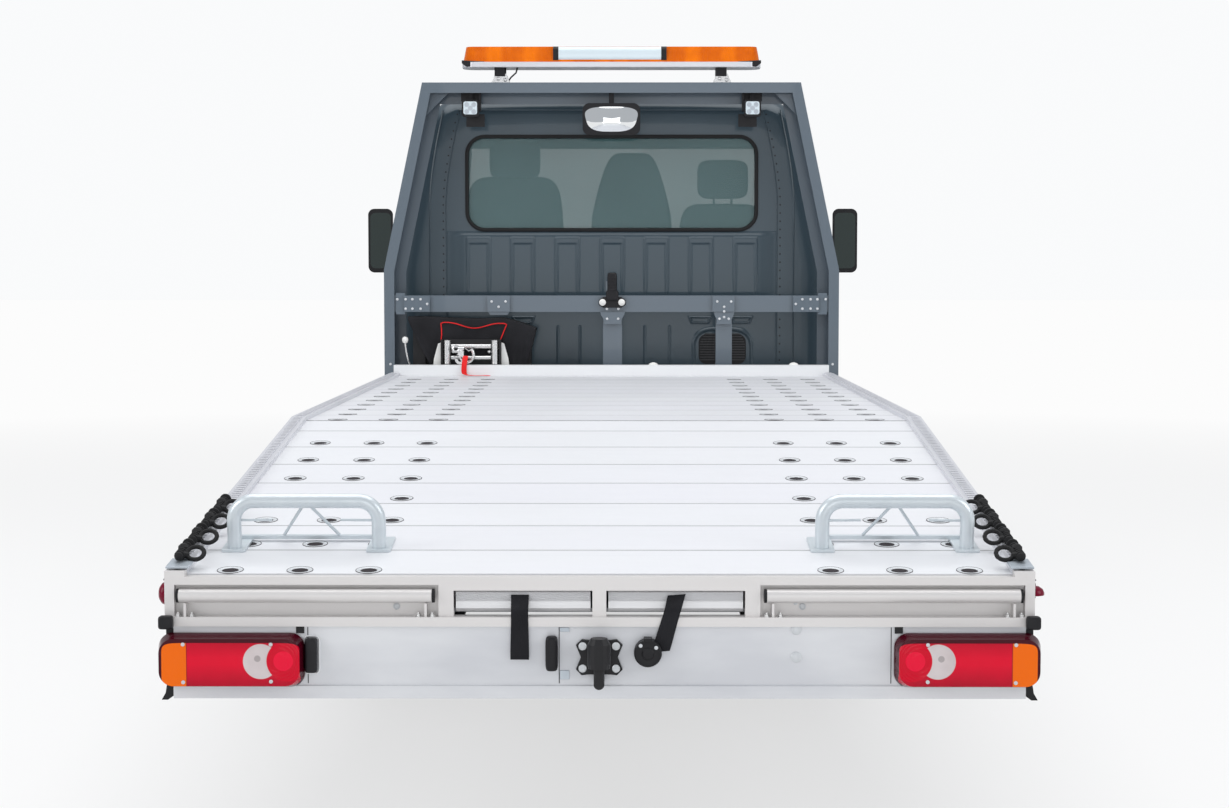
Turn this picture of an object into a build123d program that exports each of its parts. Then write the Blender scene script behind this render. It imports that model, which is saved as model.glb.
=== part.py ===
"""Car transporter on a large panel-van chassis cab, seen in its own frame.

Millimetres, +Z up, front towards +Y, ground at z = 0, origin under the middle of the vehicle.
"""

from build123d import *
import os
from math import cos, radians, sin, tan

os.makedirs("parts", exist_ok=True)

# Driving sizes of the chassis and the cab
cab_length = 2400.0
cab_width = 2050.0
front_overhang = 900.0
wheelbase = 4300.0
track = 1790.0
rail_top_z = 690.0
cab_rail_top = 540.0

# Deck, from its rear edge to the gap behind the cab
deck_width = 2136.0
level_length = 2937.0
slope_length = 1985.0
slope_angle = 6.95
cab_gap = 388.0
coupling_reach = 105.0
sill_height = 112.0
bearer_depth = 60.0
tray_depth = 68.0
plank_thickness = 30.0
plank_pitch = 258.0
plank_joint = 1.0
rail_width = 50.0
rail_height = 94.0
rail_rise = 14.0

# Wheels
tyre_radius = 349.0
tyre_width = 225.0
tyre_sides = 36
rim_radius = 203.0
stub_radius = 26.0
running_fit = 0.05
arch_radius = 430.0
kingpin_offset = 62.0

# Clearances
panel_gap = 6.0
seat_gap = 0.3

# Places worked out from the driving sizes
slope_cos = cos(radians(slope_angle))
slope_sin = sin(radians(slope_angle))
half_slope_tan = tan(radians(slope_angle / 2))
deck_height = rail_top_z + sill_height + bearer_depth + tray_depth + plank_thickness
overall_length = coupling_reach + slope_length * slope_cos + level_length + cab_gap + cab_length
nose_y = overall_length / 2
cab_back_y = nose_y - cab_length
front_axle_y = nose_y - front_overhang
rear_axle_y = front_axle_y - wheelbase
rear_edge_y = coupling_reach - overall_length / 2
knee_y = rear_edge_y + slope_length * slope_cos
deck_front_y = knee_y + level_length
rear_edge_z = deck_height - slope_length * slope_sin
half_deck = deck_width / 2
half_cab = cab_width / 2
wheel_x = track / 2
SIDES = (("left", -1), ("right", 1))


def block(x0, x1, y0, y1, z0, z1):
    """Box between two opposite corners."""
    return Pos((x0 + x1) / 2, (y0 + y1) / 2, (z0 + z1) / 2) * Box(x1 - x0, y1 - y0, z1 - z0)


def side_prism(points, x0, x1):
    """Outline in Y and Z, carried from x0 to x1."""
    return side_area(Polygon(*points, align=None), x0, x1)


def front_prism(points, y0, y1):
    """Outline in X and Z, carried from y0 to y1."""
    return front_area(Polygon(*points, align=None), y0, y1)


def side_area(face, x0, x1):
    """Flat face drawn in Y and Z, carried from x0 to x1."""
    return Pos(x0, 0, 0) * extrude(Plane.YZ * face, amount=x1 - x0, dir=(1, 0, 0))


def front_area(face, y0, y1):
    """Flat face drawn in X and Z, carried from y0 to y1."""
    return Pos(0, y1, 0) * extrude(Plane.XZ * face, amount=y1 - y0, dir=(0, -1, 0))


def x_rod(radius, x0, x1, y, z):
    """Round bar along X."""
    return Pos((x0 + x1) / 2, y, z) * Rot(0, 90, 0) * Cylinder(radius, abs(x1 - x0))


def y_rod(radius, y0, y1, x, z):
    """Round bar along Y."""
    return Pos(x, (y0 + y1) / 2, z) * Rot(90, 0, 0) * Cylinder(radius, abs(y1 - y0))


def z_rod(radius, z0, z1, x, y):
    """Round bar along Z."""
    return Pos(x, y, (z0 + z1) / 2) * Cylinder(radius, z1 - z0)


def many_sided(radius, sides):
    """Flat face with a given count of sides that touch a circle, one of them square to each axis."""
    return RegularPolygon(radius, sides, major_radius=False, rotation=180 / sides)


def x_drum(radius, sides, x0, x1, y, z):
    """Many-sided bar along X."""
    return Pos(0, y, z) * side_area(many_sided(radius, sides), x0, x1)


def twin(shape):
    """The shape with its mirror image across the middle plane."""
    return Compound(children=[shape, mirror(shape, about=Plane.YZ)])


def place_side(shape, side):
    """A right-hand shape put on the side named by its sign."""
    return shape if side > 0 else mirror(shape, about=Plane.YZ)


def group(shapes):
    """Several separate solids as one sub-part."""
    solids = []
    for shape in shapes:
        solids.extend(shape.solids())
    return Compound(children=solids)


def write(name, shape):
    """One STEP file for one sub-part."""
    export_step(shape, "parts/" + name + ".step")


def rounded_loft(x, z, near, far, corner):
    """Shell of a lamp or mirror: two rounded rectangles, each given as y, width and height."""
    sections = []
    for y, width, height in (near, far):
        plane = Plane(origin=(x, y, z), x_dir=(1, 0, 0), z_dir=(0, 1, 0))
        sections.append(plane * RectangleRounded(width, height, corner))
    return loft(sections)


def slope_place():
    """Local frame of the sloping deck: origin on the knee line, -Y down the slope."""
    return Location((0, knee_y, deck_height), (slope_angle, 0, 0))


def deck_line(depth, reach=0.0):
    """Rear, knee and front points of a line that lies depth below the deck's surface."""
    rear_y = knee_y - (slope_length + reach) * slope_cos + depth * slope_sin
    rear_z = deck_height - (slope_length + reach) * slope_sin - depth * slope_cos
    knee = (knee_y + depth * half_slope_tan, deck_height - depth)
    return (rear_y, rear_z), knee, (deck_front_y, deck_height - depth)


def deck_strip(x0, x1, top_depth, bottom_depth, reach=0.0):
    """Bar that follows the deck's bent line between two depths below its surface."""
    top = deck_line(top_depth, reach)
    bottom = deck_line(bottom_depth, reach)
    return side_prism([*top, *reversed(bottom)], x0, x1)


def rear_box(x0, x1, y0, y1, drop0, drop1):
    """Box measured from the deck's rear edge: y0 and y1 ahead of it, drops below it."""
    low, high = sorted((x0, x1))
    return block(low, high, rear_edge_y + y0, rear_edge_y + y1, rear_edge_z - drop1, rear_edge_z - drop0)


# Chassis
rail_x0 = 390.0
rail_x1 = 470.0
rail_depth = 120.0
rail_plate = 8.0
rear_rail_end = 60.0
rear_rail_drop = 170.0
rail_kick = 700.0
crank_back = 330.0
crank_front = 20.0
front_rail_end = nose_y - 460.0
cross_half = 32.0

rear_rail_y = rear_edge_y + rear_rail_end
rear_rail_z = rear_edge_z - rear_rail_drop + rear_rail_end * slope_sin
RAIL_TOP = (
    (rear_rail_y, rear_rail_z),
    (rear_axle_y - rail_kick, rail_top_z),
    (cab_back_y - crank_back, rail_top_z),
    (cab_back_y - crank_front, cab_rail_top),
    (front_rail_end, cab_rail_top),
)


def rail_height_at(y):
    """Height of the rails' top at a place along the vehicle."""
    for (y0, z0), (y1, z1) in zip(RAIL_TOP, RAIL_TOP[1:]):
        if y0 <= y <= y1:
            return z0 + (z1 - z0) * (y - y0) / (y1 - y0)
    return RAIL_TOP[-1][1]


def chassis_rail():
    """Right-hand C-section rail, cranked down behind the rear axle and under the cab."""
    bottom = [(y, z - rail_depth) for y, z in reversed(RAIL_TOP)]
    outline = Polygon(*RAIL_TOP, *bottom, align=None)
    bar = side_area(outline, rail_x0, rail_x1)
    hollow = side_area(offset(outline, amount=-rail_plate, kind=Kind.INTERSECTION), rail_x0, rail_x1)
    return bar - Pos(-rail_plate, 0, 0) * hollow


exhaust_mount = 500.0
tank_mount = 1400.0
cross_places = (
    rear_axle_y - rail_kick - 200,
    rear_axle_y - rail_kick / 2,
    rear_axle_y + exhaust_mount,
    rear_axle_y + tank_mount,
    deck_front_y - 60,
    cab_back_y + 700,
    front_rail_end - 60,
)
rails = chassis_rail()
frame = rails + mirror(rails, about=Plane.YZ)
for y in cross_places:
    middle = rail_height_at(y) - rail_depth / 2
    frame += block(-rail_x1 + rail_plate, rail_x1 - rail_plate, y - cross_half, y + cross_half,
                   middle - cross_half, middle + cross_half)
write("chassis_frame", frame)

# Headboard's place, which the deck's front bearer and the sills follow
board_y = deck_front_y + 150.0
board_depth = 130.0
board_half = 1109.0
board_plate = 6.0
post_foot = 60.0

# Cross bearers under the planks
beam_x0 = 400.0
beam_x1 = 460.0
bearer_width = 50.0
bearer_pitch = 500.0
first_bearer = 200.0
plank_half = half_deck - rail_width
bearer_top = plank_thickness + tray_depth

bearers = []
bearer_count = int((level_length - first_bearer - bearer_width) / bearer_pitch) + 1
for index in range(bearer_count):
    y0 = knee_y + first_bearer + index * bearer_pitch
    bearers.append(block(-plank_half, plank_half, y0, y0 + bearer_width,
                         deck_height - bearer_top - bearer_depth, deck_height - bearer_top))
bearer_count = int((slope_length - first_bearer - bearer_width) / bearer_pitch) + 1
for index in range(bearer_count):
    s0 = first_bearer + index * bearer_pitch
    bar = block(-plank_half, plank_half, -s0 - bearer_width, -s0, -bearer_top - bearer_depth, -bearer_top)
    bearers.append(slope_place() * bar)
bearers.append(block(-board_half, board_half, board_y, board_y + board_depth,
                     deck_height - bearer_top - bearer_depth, deck_height - post_foot - board_plate))
write("deck_bearers", group(bearers))

# Longitudinal sills between the chassis rails and the bearers
sill_start = rear_axle_y - 400.0
sill = block(beam_x0, beam_x1, sill_start, board_y + board_depth, rail_top_z, rail_top_z + sill_height)

# Planks with their rows of lashing holes. Fittings are bolted through the round ones amidships;
# the others are drawn with eight sides.
hole_radius = 21.0
hole_sides = 8
HOLE_X = (573.0, 744.0, 917.0)
level_hole_back = 36.0
slope_hole_back = 62.0
round_planks = (5, 6)
rear_cap = 30.0
knee_start = 6.0


def plank(length, hole_back, round_holes=False):
    """Plank across the deck, its rear edge at y = 0, top at z = 0."""
    board = Pos(0, (length - plank_joint) / 2) * Rectangle(2 * plank_half, length - plank_joint)
    if hole_back:
        hole = Circle(hole_radius) if round_holes else many_sided(hole_radius, hole_sides)
        for x in HOLE_X:
            for side in (-1, 1):
                board -= Pos(side * x, hole_back) * hole
    return extrude(board, amount=plank_thickness, dir=(0, 0, -1))


level_count = int(level_length / plank_pitch)
level_planks = []
for index in range(level_count):
    start = plank_joint + index * plank_pitch
    board = plank(plank_pitch, level_hole_back, index in round_planks)
    level_planks.append(Pos(0, knee_y + start, deck_height) * board)
start = plank_joint + level_count * plank_pitch
if level_length - start > plank_joint:
    level_planks.append(Pos(0, knee_y + start, deck_height) * plank(level_length - start, 0))
write("deck_planks_level", group(level_planks))

slope_count = int(slope_length / plank_pitch)
knee_plank = slope_length - slope_count * plank_pitch
slope_planks = [slope_place() * Pos(0, -knee_plank, 0) * plank(knee_plank - knee_start, 0)]
for index in range(slope_count):
    start = -knee_plank - (index + 1) * plank_pitch
    cap = rear_cap + plank_joint if index == slope_count - 1 else 0
    board = plank(plank_pitch - cap, slope_hole_back - cap)
    slope_planks.append(slope_place() * Pos(0, start + cap, 0) * board)
write("deck_planks_slope", group(slope_planks))

# Side rails, each a hollow bar with a raised lip along the deck's edge
groove_top = 34.0
groove_bottom = 62.0
groove_depth = 14.0
slot_width = 14.0
slot_depth = 10.0
member_depth = 30.0
rail_x = half_deck - rail_width / 2
rail_reach = -member_depth - 3.0
bar = deck_strip(plank_half, half_deck, -rail_rise, rail_height, rail_reach)
bar -= deck_strip(half_deck - groove_depth, half_deck + 1, groove_top, groove_bottom, rail_reach)
bar -= deck_strip(rail_x - slot_width / 2, rail_x + slot_width / 2, -rail_rise - 1, -rail_rise + slot_depth,
                  rail_reach)
write("side_rails", twin(bar))

# Lashing rings standing on the rear part of the rails
ring_start = 120.0
ring_pitch = 165.0
ring_count = 4
ring_sides = 10
# radius, lower and upper height of each step of the knob
KNOB = ((17, 0, 34), (11, 34, 46), (16, 46, 54))
ring_outer = 24.0
ring_inner = 15.0
ring_reach = 30.0


def lashing_ring():
    """Stepped knob with its ring lying inward, foot at z = 0."""
    ring = many_sided(ring_outer, ring_sides) - many_sided(ring_inner, ring_sides)
    shape = Pos(-ring_reach, 0, 22) * extrude(ring, amount=9, dir=(0, 0, 1))
    for radius, low, high in KNOB:
        shape += Pos(0, 0, low) * extrude(many_sided(radius, ring_sides), amount=high - low, dir=(0, 0, 1))
    return shape


rings = []
for index in range(ring_count):
    s = slope_length - ring_start - index * ring_pitch
    rings.append(slope_place() * Pos(rail_x, -s, rail_rise) * lashing_ring())
write("lashing_rings", twin(group(rings)))

# Wheel-stop hoops
hoop_tube = 20.0
hoop_half_width = 186.0
hoop_height = 148.0
hoop_corner = 62.0
hoop_x = 756.0
hoop_back = 262.0
hoop_foot = 8.0
foot_half = 32.0
strut_radius = 7.0


def wheel_hoop():
    """Bent tube on two foot plates, with a lower rail and two struts."""
    top = hoop_height - hoop_tube
    legs = FilletPolyline(
        (-hoop_half_width, 0, hoop_foot),
        (-hoop_half_width, 0, top),
        (hoop_half_width, 0, top),
        (hoop_half_width, 0, hoop_foot),
        radius=hoop_corner,
    )
    section = Plane(origin=legs @ 0, z_dir=legs % 0) * many_sided(hoop_tube, 8)
    hoop = sweep(section, path=legs)
    hoop += block(-hoop_half_width, hoop_half_width, 10, 18, 16, 52)
    for side in (-1, 1):
        x = side * hoop_half_width
        hoop += block(x - foot_half, x + foot_half, -30, 110, 0, hoop_foot)
        strut = Line((side * 18, 6, top - 8), (side * (hoop_half_width - 50), 14, 46))
        hoop += sweep(Plane(origin=strut @ 0, z_dir=strut % 0) * many_sided(strut_radius, 6), path=strut)
    return hoop


placed_hoop = slope_place() * Pos(hoop_x, -(slope_length - hoop_back), 0) * wheel_hoop()
write("wheel_stops", twin(placed_hoop))

# Rear crossmember with two ramp pockets and a sheltered roller each side
ramp_x0 = 17.0
ramp_x1 = 358.0
pocket_top = 34.0
lip_bottom = 121.0
lip_height = 23.0
lip_proud = 12.0
board_bottom = 268.0
flange_bottom = 299.0
roller_x0 = 411.0
roller_x1 = 1032.0
roller_radius = 17.0
roller_drop = 47.0
recess_top = 20.0
recess_depth = 22.0
bracket_plate = 6.0

lip_top = lip_bottom - lip_height
member = rear_box(-half_deck, half_deck, 0, member_depth, 0, lip_top)
member += rear_box(-half_deck, half_deck, -lip_proud, member_depth, lip_top, lip_bottom)
rollers = []
for side in (-1, 1):
    member += rear_box(side * plank_half, side * half_deck, 0, member_depth, -rail_rise, 0)
    member -= rear_box(side * ramp_x0, side * ramp_x1, -1, member_depth + 1, pocket_top, lip_top)
    member -= rear_box(side * (roller_x0 - 16), side * (roller_x1 + 12), -1, recess_depth, recess_top, lip_top)
    for x in (roller_x0 + 12, roller_x1 - 12 - bracket_plate):
        member += rear_box(side * x, side * (x + bracket_plate), -8, recess_depth,
                           roller_drop + roller_radius + seat_gap, lip_top)
    rollers.append(x_rod(roller_radius, side * roller_x0, side * roller_x1, rear_edge_y + 3,
                         rear_edge_z - roller_drop))
write("rear_crossmember", group([member, *rollers]))

board_end = half_deck - 22.0
board_front = 20.0
board_skin = 6.0
flange_front = 60.0
board = rear_box(-board_end, board_end, -board_skin, board_front, lip_bottom, board_bottom)
board += rear_box(-board_end, board_end, -lip_proud, flange_front, board_bottom, flange_bottom)
write("bumper_board", board)

fittings = []
for side in (-1, 1):
    fittings.append(rear_box(side * board_end, side * (board_end + 20), -lip_proud, 50, lip_bottom + 130,
                             flange_bottom + 4))
    fittings.append(rear_box(side * (half_deck - 26), side * (half_deck + 8), -34, -lip_proud, lip_top - 6,
                             lip_bottom + 6))

# Tail lamps on the board, and side markers on the rails
lamp_inner = 722.0
lamp_outer = 1081.0
lamp_top = 136.0
lamp_low = 270.0
lamp_depth = 40.0
lamp_corner = 36.0
marker_radius = 21.0
lamp_x = (lamp_inner + lamp_outer) / 2
lamp_width = lamp_outer - lamp_inner
lamp_height = lamp_low - lamp_top
lamp_back = rear_edge_y - lip_proud - 1
lamp = rounded_loft(lamp_x, rear_edge_z - (lamp_top + lamp_low) / 2,
                    (lamp_back, lamp_width, lamp_height),
                    (lamp_back - lamp_depth, lamp_width - 16, lamp_height - 18), lamp_corner)
lamp += rear_box(lamp_inner + 40, board_end - 20, -lip_proud - 1, -board_skin, lamp_top + 20, board_bottom - 8)
marker = x_drum(marker_radius, 12, half_deck, half_deck + 12, 0, 0)
marker = slope_place() * Pos(0, -slope_length + 64, -48) * marker
write("rear_lamps", group([twin(lamp), twin(marker)]))

# Tow coupling: flange with four ears, neck and capped ball
ear_x = 57.0
ear_top = 152.0
ear_low = 240.0
waist = 12.0
FLANGE = [
    (-ear_x, rear_edge_z - ear_low + 14), (-ear_x + 14, rear_edge_z - ear_low), (-28.0, rear_edge_z - ear_low + 2),
    (28.0, rear_edge_z - ear_low + 2), (ear_x - 14, rear_edge_z - ear_low), (ear_x, rear_edge_z - ear_low + 14),
    (ear_x - waist, rear_edge_z - (ear_top + ear_low) / 2), (ear_x, rear_edge_z - ear_top - 14),
    (ear_x - 14, rear_edge_z - ear_top), (28.0, rear_edge_z - ear_top - 2), (-28.0, rear_edge_z - ear_top - 2),
    (-ear_x + 14, rear_edge_z - ear_top), (-ear_x, rear_edge_z - ear_top - 14),
    (-ear_x + waist, rear_edge_z - (ear_top + ear_low) / 2),
]
neck_radius = 13.0
neck_drop = 249.0
ball_back = coupling_reach - 29.0
# height below the deck's rear edge and radius of the ball's cap
CAP = ((212.0, 26.0), (200.0, 28.5), (152.0, 28.5), (138.0, 20.0))
flange = front_prism(FLANGE, rear_edge_y - 18, rear_edge_y - board_skin)
neck = y_rod(neck_radius, rear_edge_y - ball_back - neck_radius, rear_edge_y - board_skin, 0, rear_edge_z - neck_drop)
neck += z_rod(neck_radius, rear_edge_z - neck_drop - 4, rear_edge_z - CAP[0][0], 0, rear_edge_y - ball_back)
cap_sections = [Pos(0, rear_edge_y - ball_back, rear_edge_z - drop) * RegularPolygon(radius, 16)
                for drop, radius in CAP]
write("tow_coupling", flange + neck + loft(cap_sections, ruled=True))

socket = y_rod(34, rear_edge_y - 40, rear_edge_y - board_skin, 119, rear_edge_z - 183)
plate_lamp = rear_box(-131, -102, -34, -board_skin, 143, 228)
side_block = rear_box(-719, -690, -30, -board_skin, 149, 233)
fittings += [socket, plate_lamp, side_block]
for drop in (128, 197):
    fittings.append(y_rod(7, rear_edge_y - 16, rear_edge_y - board_skin, 483, rear_edge_z - drop))
write("rear_fittings", group(fittings))

# Ramps stowed in their pockets under the sloping deck
ramp_length = 1850.0
ramp_side_gap = 5.0
ramp_top = plank_thickness + 8.0
ramp_height = 52.0
ramp_back = 2.0
ramp_bar = 30.0
slat_width = 60.0
slat_count = 9
ridge_count = 5
ridge_pitch = 5.0
ridge_depth = 3.0
nose_length = 70.0


def ramp_nose():
    """Outline of the ramp's end: fine ridges above, a smooth lip below."""
    points = [(-ramp_length + nose_length, 0), (-ramp_length + ridge_depth, 0)]
    for index in range(ridge_count):
        z = -index * ridge_pitch
        points.append((-ramp_length, z - ridge_pitch * 0.4))
        points.append((-ramp_length + ridge_depth, z - ridge_pitch))
    points.append((-ramp_length, -ramp_height + 10))
    points.append((-ramp_length + 8, -ramp_height))
    points.append((-ramp_length + nose_length, -ramp_height))
    return points


def ramp():
    """Right-hand ramp: two side members, cross slats and a ridged nose, along -Y, top at z = 0."""
    x0 = ramp_x0 + ramp_side_gap
    x1 = ramp_x1 - ramp_side_gap
    bars = side_prism(ramp_nose(), x0, x1)
    for x in (x0, x1 - ramp_bar):
        bars += block(x, x + ramp_bar, -ramp_length + nose_length, 0, -ramp_height, 0)
    pitch = (ramp_length - slat_width) / (slat_count - 1)
    for index in range(1, slat_count):
        y0 = -ramp_length + index * pitch
        bars += block(x0, x1, y0, y0 + slat_width, -ramp_height + 10, -6)
    return bars


ramp_start = slope_length - ramp_length - ramp_back
for name, side in SIDES:
    placed = slope_place() * Pos(0, -ramp_start, -ramp_top) * ramp()
    write("ramp_" + name, place_side(placed, side))

# Lattice that carries the planks and the ramps: three beams, two outer bars and a tray
beam_reach = -42.0
tray_inset = 40.0
tray_length = 1700.0
outer_bar_x0 = 820.0
outer_bar_x1 = 870.0
tray_top = ramp_top + ramp_height + seat_gap
upright = deck_strip(beam_x0, beam_x1, plank_thickness, bearer_top, beam_reach)
centre_bar = deck_strip(-9.0, 9.0, plank_thickness, bearer_top, beam_reach)
outer_bar = deck_strip(outer_bar_x0, outer_bar_x1, plank_thickness, bearer_top, beam_reach)
tray = block(-beam_x0, beam_x0, -slope_length + tray_inset, -slope_length + tray_inset + tray_length,
             -bearer_top, -tray_top)
lattice = centre_bar + upright + mirror(upright, about=Plane.YZ) + slope_place() * tray
write("deck_beams", group([lattice, twin(outer_bar), twin(sill)]))

# Straps that pull the ramps out: side, x of the middle, drop of the tip
strap_top = 43.0
strap_half = 19.0
strap_thickness = 4.0
strap_back = 18.0
strap_end = ramp_back * slope_cos + strap_top * slope_sin - seat_gap
STRAPS = (("left", -195.0, 203.0), ("right", 173.0, 183.0))
for name, x, tip in STRAPS:
    strap = rear_box(x - strap_half, x + strap_half, -strap_back, -strap_back + strap_thickness, strap_top, tip)
    strap += rear_box(x - strap_half, x + strap_half, -strap_back, strap_end, strap_top,
                      strap_top + strap_thickness)
    write("ramp_strap_" + name, strap)

# Headboard frame behind the cab
board_shoulder_z = deck_height + 509.0
board_top_z = deck_height + 1416.0
board_top_half = 918.0
rear_flange = 50.0
front_flange = 95.0
gusset = 170.0
crossbar_low = deck_height + 305.0
crossbar_high = deck_height + 385.0
crossbar_depth = 60.0

board_face = Polygon(
    (-board_half, deck_height - post_foot),
    (-board_half, board_shoulder_z),
    (-board_top_half, board_top_z),
    (board_top_half, board_top_z),
    (board_half, board_shoulder_z),
    (board_half, deck_height - post_foot),
    align=None,
)
front_y = board_y + board_depth
headboard = front_area(board_face, board_y, front_y)
headboard -= front_area(offset(board_face, amount=-board_plate, kind=Kind.INTERSECTION),
                        board_y + board_plate, front_y - board_plate)
headboard -= front_area(offset(board_face, amount=-rear_flange, kind=Kind.INTERSECTION),
                        board_y - 1, board_y + board_plate + 1)
headboard -= front_area(offset(board_face, amount=-front_flange, kind=Kind.INTERSECTION),
                        front_y - board_plate - 1, front_y + 1)
headboard -= block(-board_half + rear_flange, board_half - rear_flange, board_y - 1, board_y + 20,
                   0, deck_height + 200)
headboard -= block(-board_half + front_flange, board_half - front_flange, board_y - 1, front_y + 1,
                   0, deck_height + 200)
for side in (-1, 1):
    foot_x = sorted((side * board_half, side * (board_half - rear_flange)))
    headboard += block(*foot_x, board_y, front_y, deck_height - post_foot - board_plate, deck_height - post_foot)
    corner_x = side * (board_top_half + 60)
    plate = front_prism([(corner_x, board_top_z), (side * (board_top_half - gusset), board_top_z),
                         (corner_x, board_top_z - gusset - 60)], board_y + 50, board_y + 50 + board_plate)
    headboard += plate & front_area(board_face, board_y, front_y)
write("headboard_frame", headboard)

# Crossbar on bolted plates, and two posts under it
platform_z = deck_height - 40.0
platform_plate = 8.0
# left and right edge of each post under the crossbar
POSTS = ((-41.0, 52.0), (510.0, 589.0))
crossbar_end = board_half - board_plate
crossbar = block(-crossbar_end, crossbar_end, board_y + 8, board_y + 8 + crossbar_depth, crossbar_low, crossbar_high)
for side in (-1, 1):
    plate_x = sorted((side * (crossbar_end - 96), side * (crossbar_end - 52)))
    crossbar += block(*plate_x, board_y + 2, board_y + 8, crossbar_low - 12, crossbar_high + 12)
for x0, x1 in POSTS:
    crossbar += block(x0, x1, board_y + 20, board_y + 60, platform_z, crossbar_low)
crossbar += block(-27, 27, board_y - 4, board_y + 8, crossbar_low + 18, crossbar_high + 70)
write("headboard_bars", crossbar)

post_inner = board_half - rear_flange
threshold_half = 1048.0
threshold_rise = 52.0
platform = block(-post_inner, post_inner, deck_front_y, front_y - board_plate, platform_z - platform_plate, platform_z)
platform += block(-threshold_half, threshold_half, deck_front_y + 2, deck_front_y + 10, platform_z,
                  deck_height + threshold_rise)
platform += block(-threshold_half, threshold_half, deck_front_y + 10, deck_front_y + 60,
                  deck_height + threshold_rise - 8, deck_height + threshold_rise)
write("winch_platform", platform)

# Winch, its cover, the roller fairlead and the hook on its rope
winch_x0 = -998.0
winch_x1 = -364.0
winch_y0 = board_y - 40.0
winch_depth = 200.0
cover_wall = 6.0
cover_top = deck_height + 288.0
cover_low = platform_z + 60.0
cover_slope = 50.0
drum_radius = 45.0
fair_x0 = -827.0
fair_x1 = -535.0
fair_low = deck_height + 54.0
fair_high = deck_height + 173.0
fair_y0 = deck_front_y + 68.0
fair_y1 = winch_y0 - seat_gap
cheek = 9.0
guide_radius = 14.0
guide_y = fair_y0 + guide_radius + 2.0
rope_radius = 5.0
rope_x = -731.0
rope_z = (fair_low + fair_high) / 2

drum_y = winch_y0 + winch_depth / 2
drum_z = rope_z - drum_radius + rope_radius
winch = x_rod(drum_radius, winch_x0 + 60, winch_x1 - 60, drum_y, drum_z)
for x in (winch_x0 + 30, winch_x1 - 90):
    winch += block(x, x + 60, winch_y0 + 30, winch_y0 + winch_depth - 30, platform_z,
                   cover_top - cover_slope - cover_wall - seat_gap)
write("winch", winch)

fair = block(fair_x0, fair_x1, fair_y1 - bracket_plate, fair_y1, platform_z, fair_high)
fair -= block(fair_x0 + 50, fair_x1 - 50, fair_y0, fair_y1 + 1, fair_low + 34, fair_high - 34)
for x in (fair_x0, fair_x1 - cheek):
    fair += block(x, x + cheek, fair_y0, fair_y1, platform_z, fair_high)
write("fairlead_frame", fair)

guides = []
for z in (fair_low + guide_radius, fair_high - guide_radius - 4):
    guides.append(x_drum(guide_radius, 16, fair_x0 + cheek + seat_gap, fair_x1 - cheek - seat_gap, guide_y, z))
for x in (fair_x0 + cheek + guide_radius + 22, fair_x1 - cheek - guide_radius - 22):
    upright_face = many_sided(guide_radius, 16)
    guides.append(Pos(x, guide_y, fair_low + 2 * guide_radius + seat_gap)
                  * extrude(upright_face, amount=fair_high - fair_low - 4 * guide_radius - 4 - 2 * seat_gap,
                            dir=(0, 0, 1)))
write("fairlead_rollers", group(guides))

cover = side_prism(
    [
        (winch_y0, cover_low), (winch_y0, cover_top - cover_slope), (winch_y0 + cover_slope, cover_top),
        (winch_y0 + winch_depth, cover_top), (winch_y0 + winch_depth, cover_low),
    ], winch_x0, winch_x1)
cover -= side_prism(
    [
        (winch_y0 + cover_wall, cover_low - 1), (winch_y0 + cover_wall, cover_top - cover_slope - cover_wall / 2),
        (winch_y0 + cover_slope + cover_wall / 2, cover_top - cover_wall),
        (winch_y0 + winch_depth - cover_wall, cover_top - cover_wall),
        (winch_y0 + winch_depth - cover_wall, cover_low - 1),
    ], winch_x0 + cover_wall, winch_x1 - cover_wall)
cover -= block(fair_x0 + 30, fair_x1 - 30, winch_y0 - 1, winch_y0 + cover_wall + 1, cover_low - 1, fair_high - 10)
write("winch_cover", cover)

hook_thickness = 14.0
hook_drop = 34.0
hook_face = Circle(26) - Circle(13)
hook_face -= Pos(-19, 9) * Rectangle(24, 20)
hook_face += Pos(0, hook_drop) * (Circle(13) - Circle(6))
hook_face += Pos(11, hook_drop - 11) * Rectangle(11, 18)
hook_y = fair_y0 - 4
hook = Pos(rope_x, 0, rope_z - hook_drop) * front_area(hook_face, hook_y - hook_thickness, hook_y)
hook += y_rod(rope_radius, hook_y - hook_thickness / 2, hook_y + 10, rope_x + 12, rope_z)
rope = y_rod(rope_radius, hook_y + 10, drum_y, rope_x + 12, rope_z)
rope -= x_rod(drum_radius + seat_gap, winch_x0, winch_x1, drum_y, drum_z)
write("winch_hook", group([hook + rope]))

# Light bar, work lights and mirror on the headboard
bar_half = 724.0
bar_y0 = board_y - 20.0
bar_depth = 170.0
bar_corner = 60.0
bar_foot_height = 73.0
bar_base_height = 24.0
bar_lens_height = 76.0
foot_x = 537.0
bar_face = Pos(0, bar_y0 + bar_depth / 2) * RectangleRounded(2 * bar_half, bar_depth, bar_corner)
base_z = board_top_z + bar_foot_height
base = Pos(0, 0, base_z) * extrude(bar_face, amount=bar_base_height, dir=(0, 0, 1))
for x in (-foot_x, foot_x):
    base += block(x - 22, x + 22, bar_y0 + 40, bar_y0 + 110, board_top_z, base_z)
write("light_bar_base", base)
lens_z = base_z + bar_base_height
lens_face = Pos(0, bar_y0 + bar_depth / 2) * RectangleRounded(2 * bar_half - 8, bar_depth - 8, bar_corner - 4)
top_face = Pos(0, bar_y0 + bar_depth / 2) * RectangleRounded(2 * bar_half - 36, bar_depth - 60, bar_corner - 20)
lens = loft([Pos(0, 0, lens_z) * lens_face, Pos(0, 0, lens_z + bar_lens_height) * top_face])
write("light_bar_lens", lens)

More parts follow.
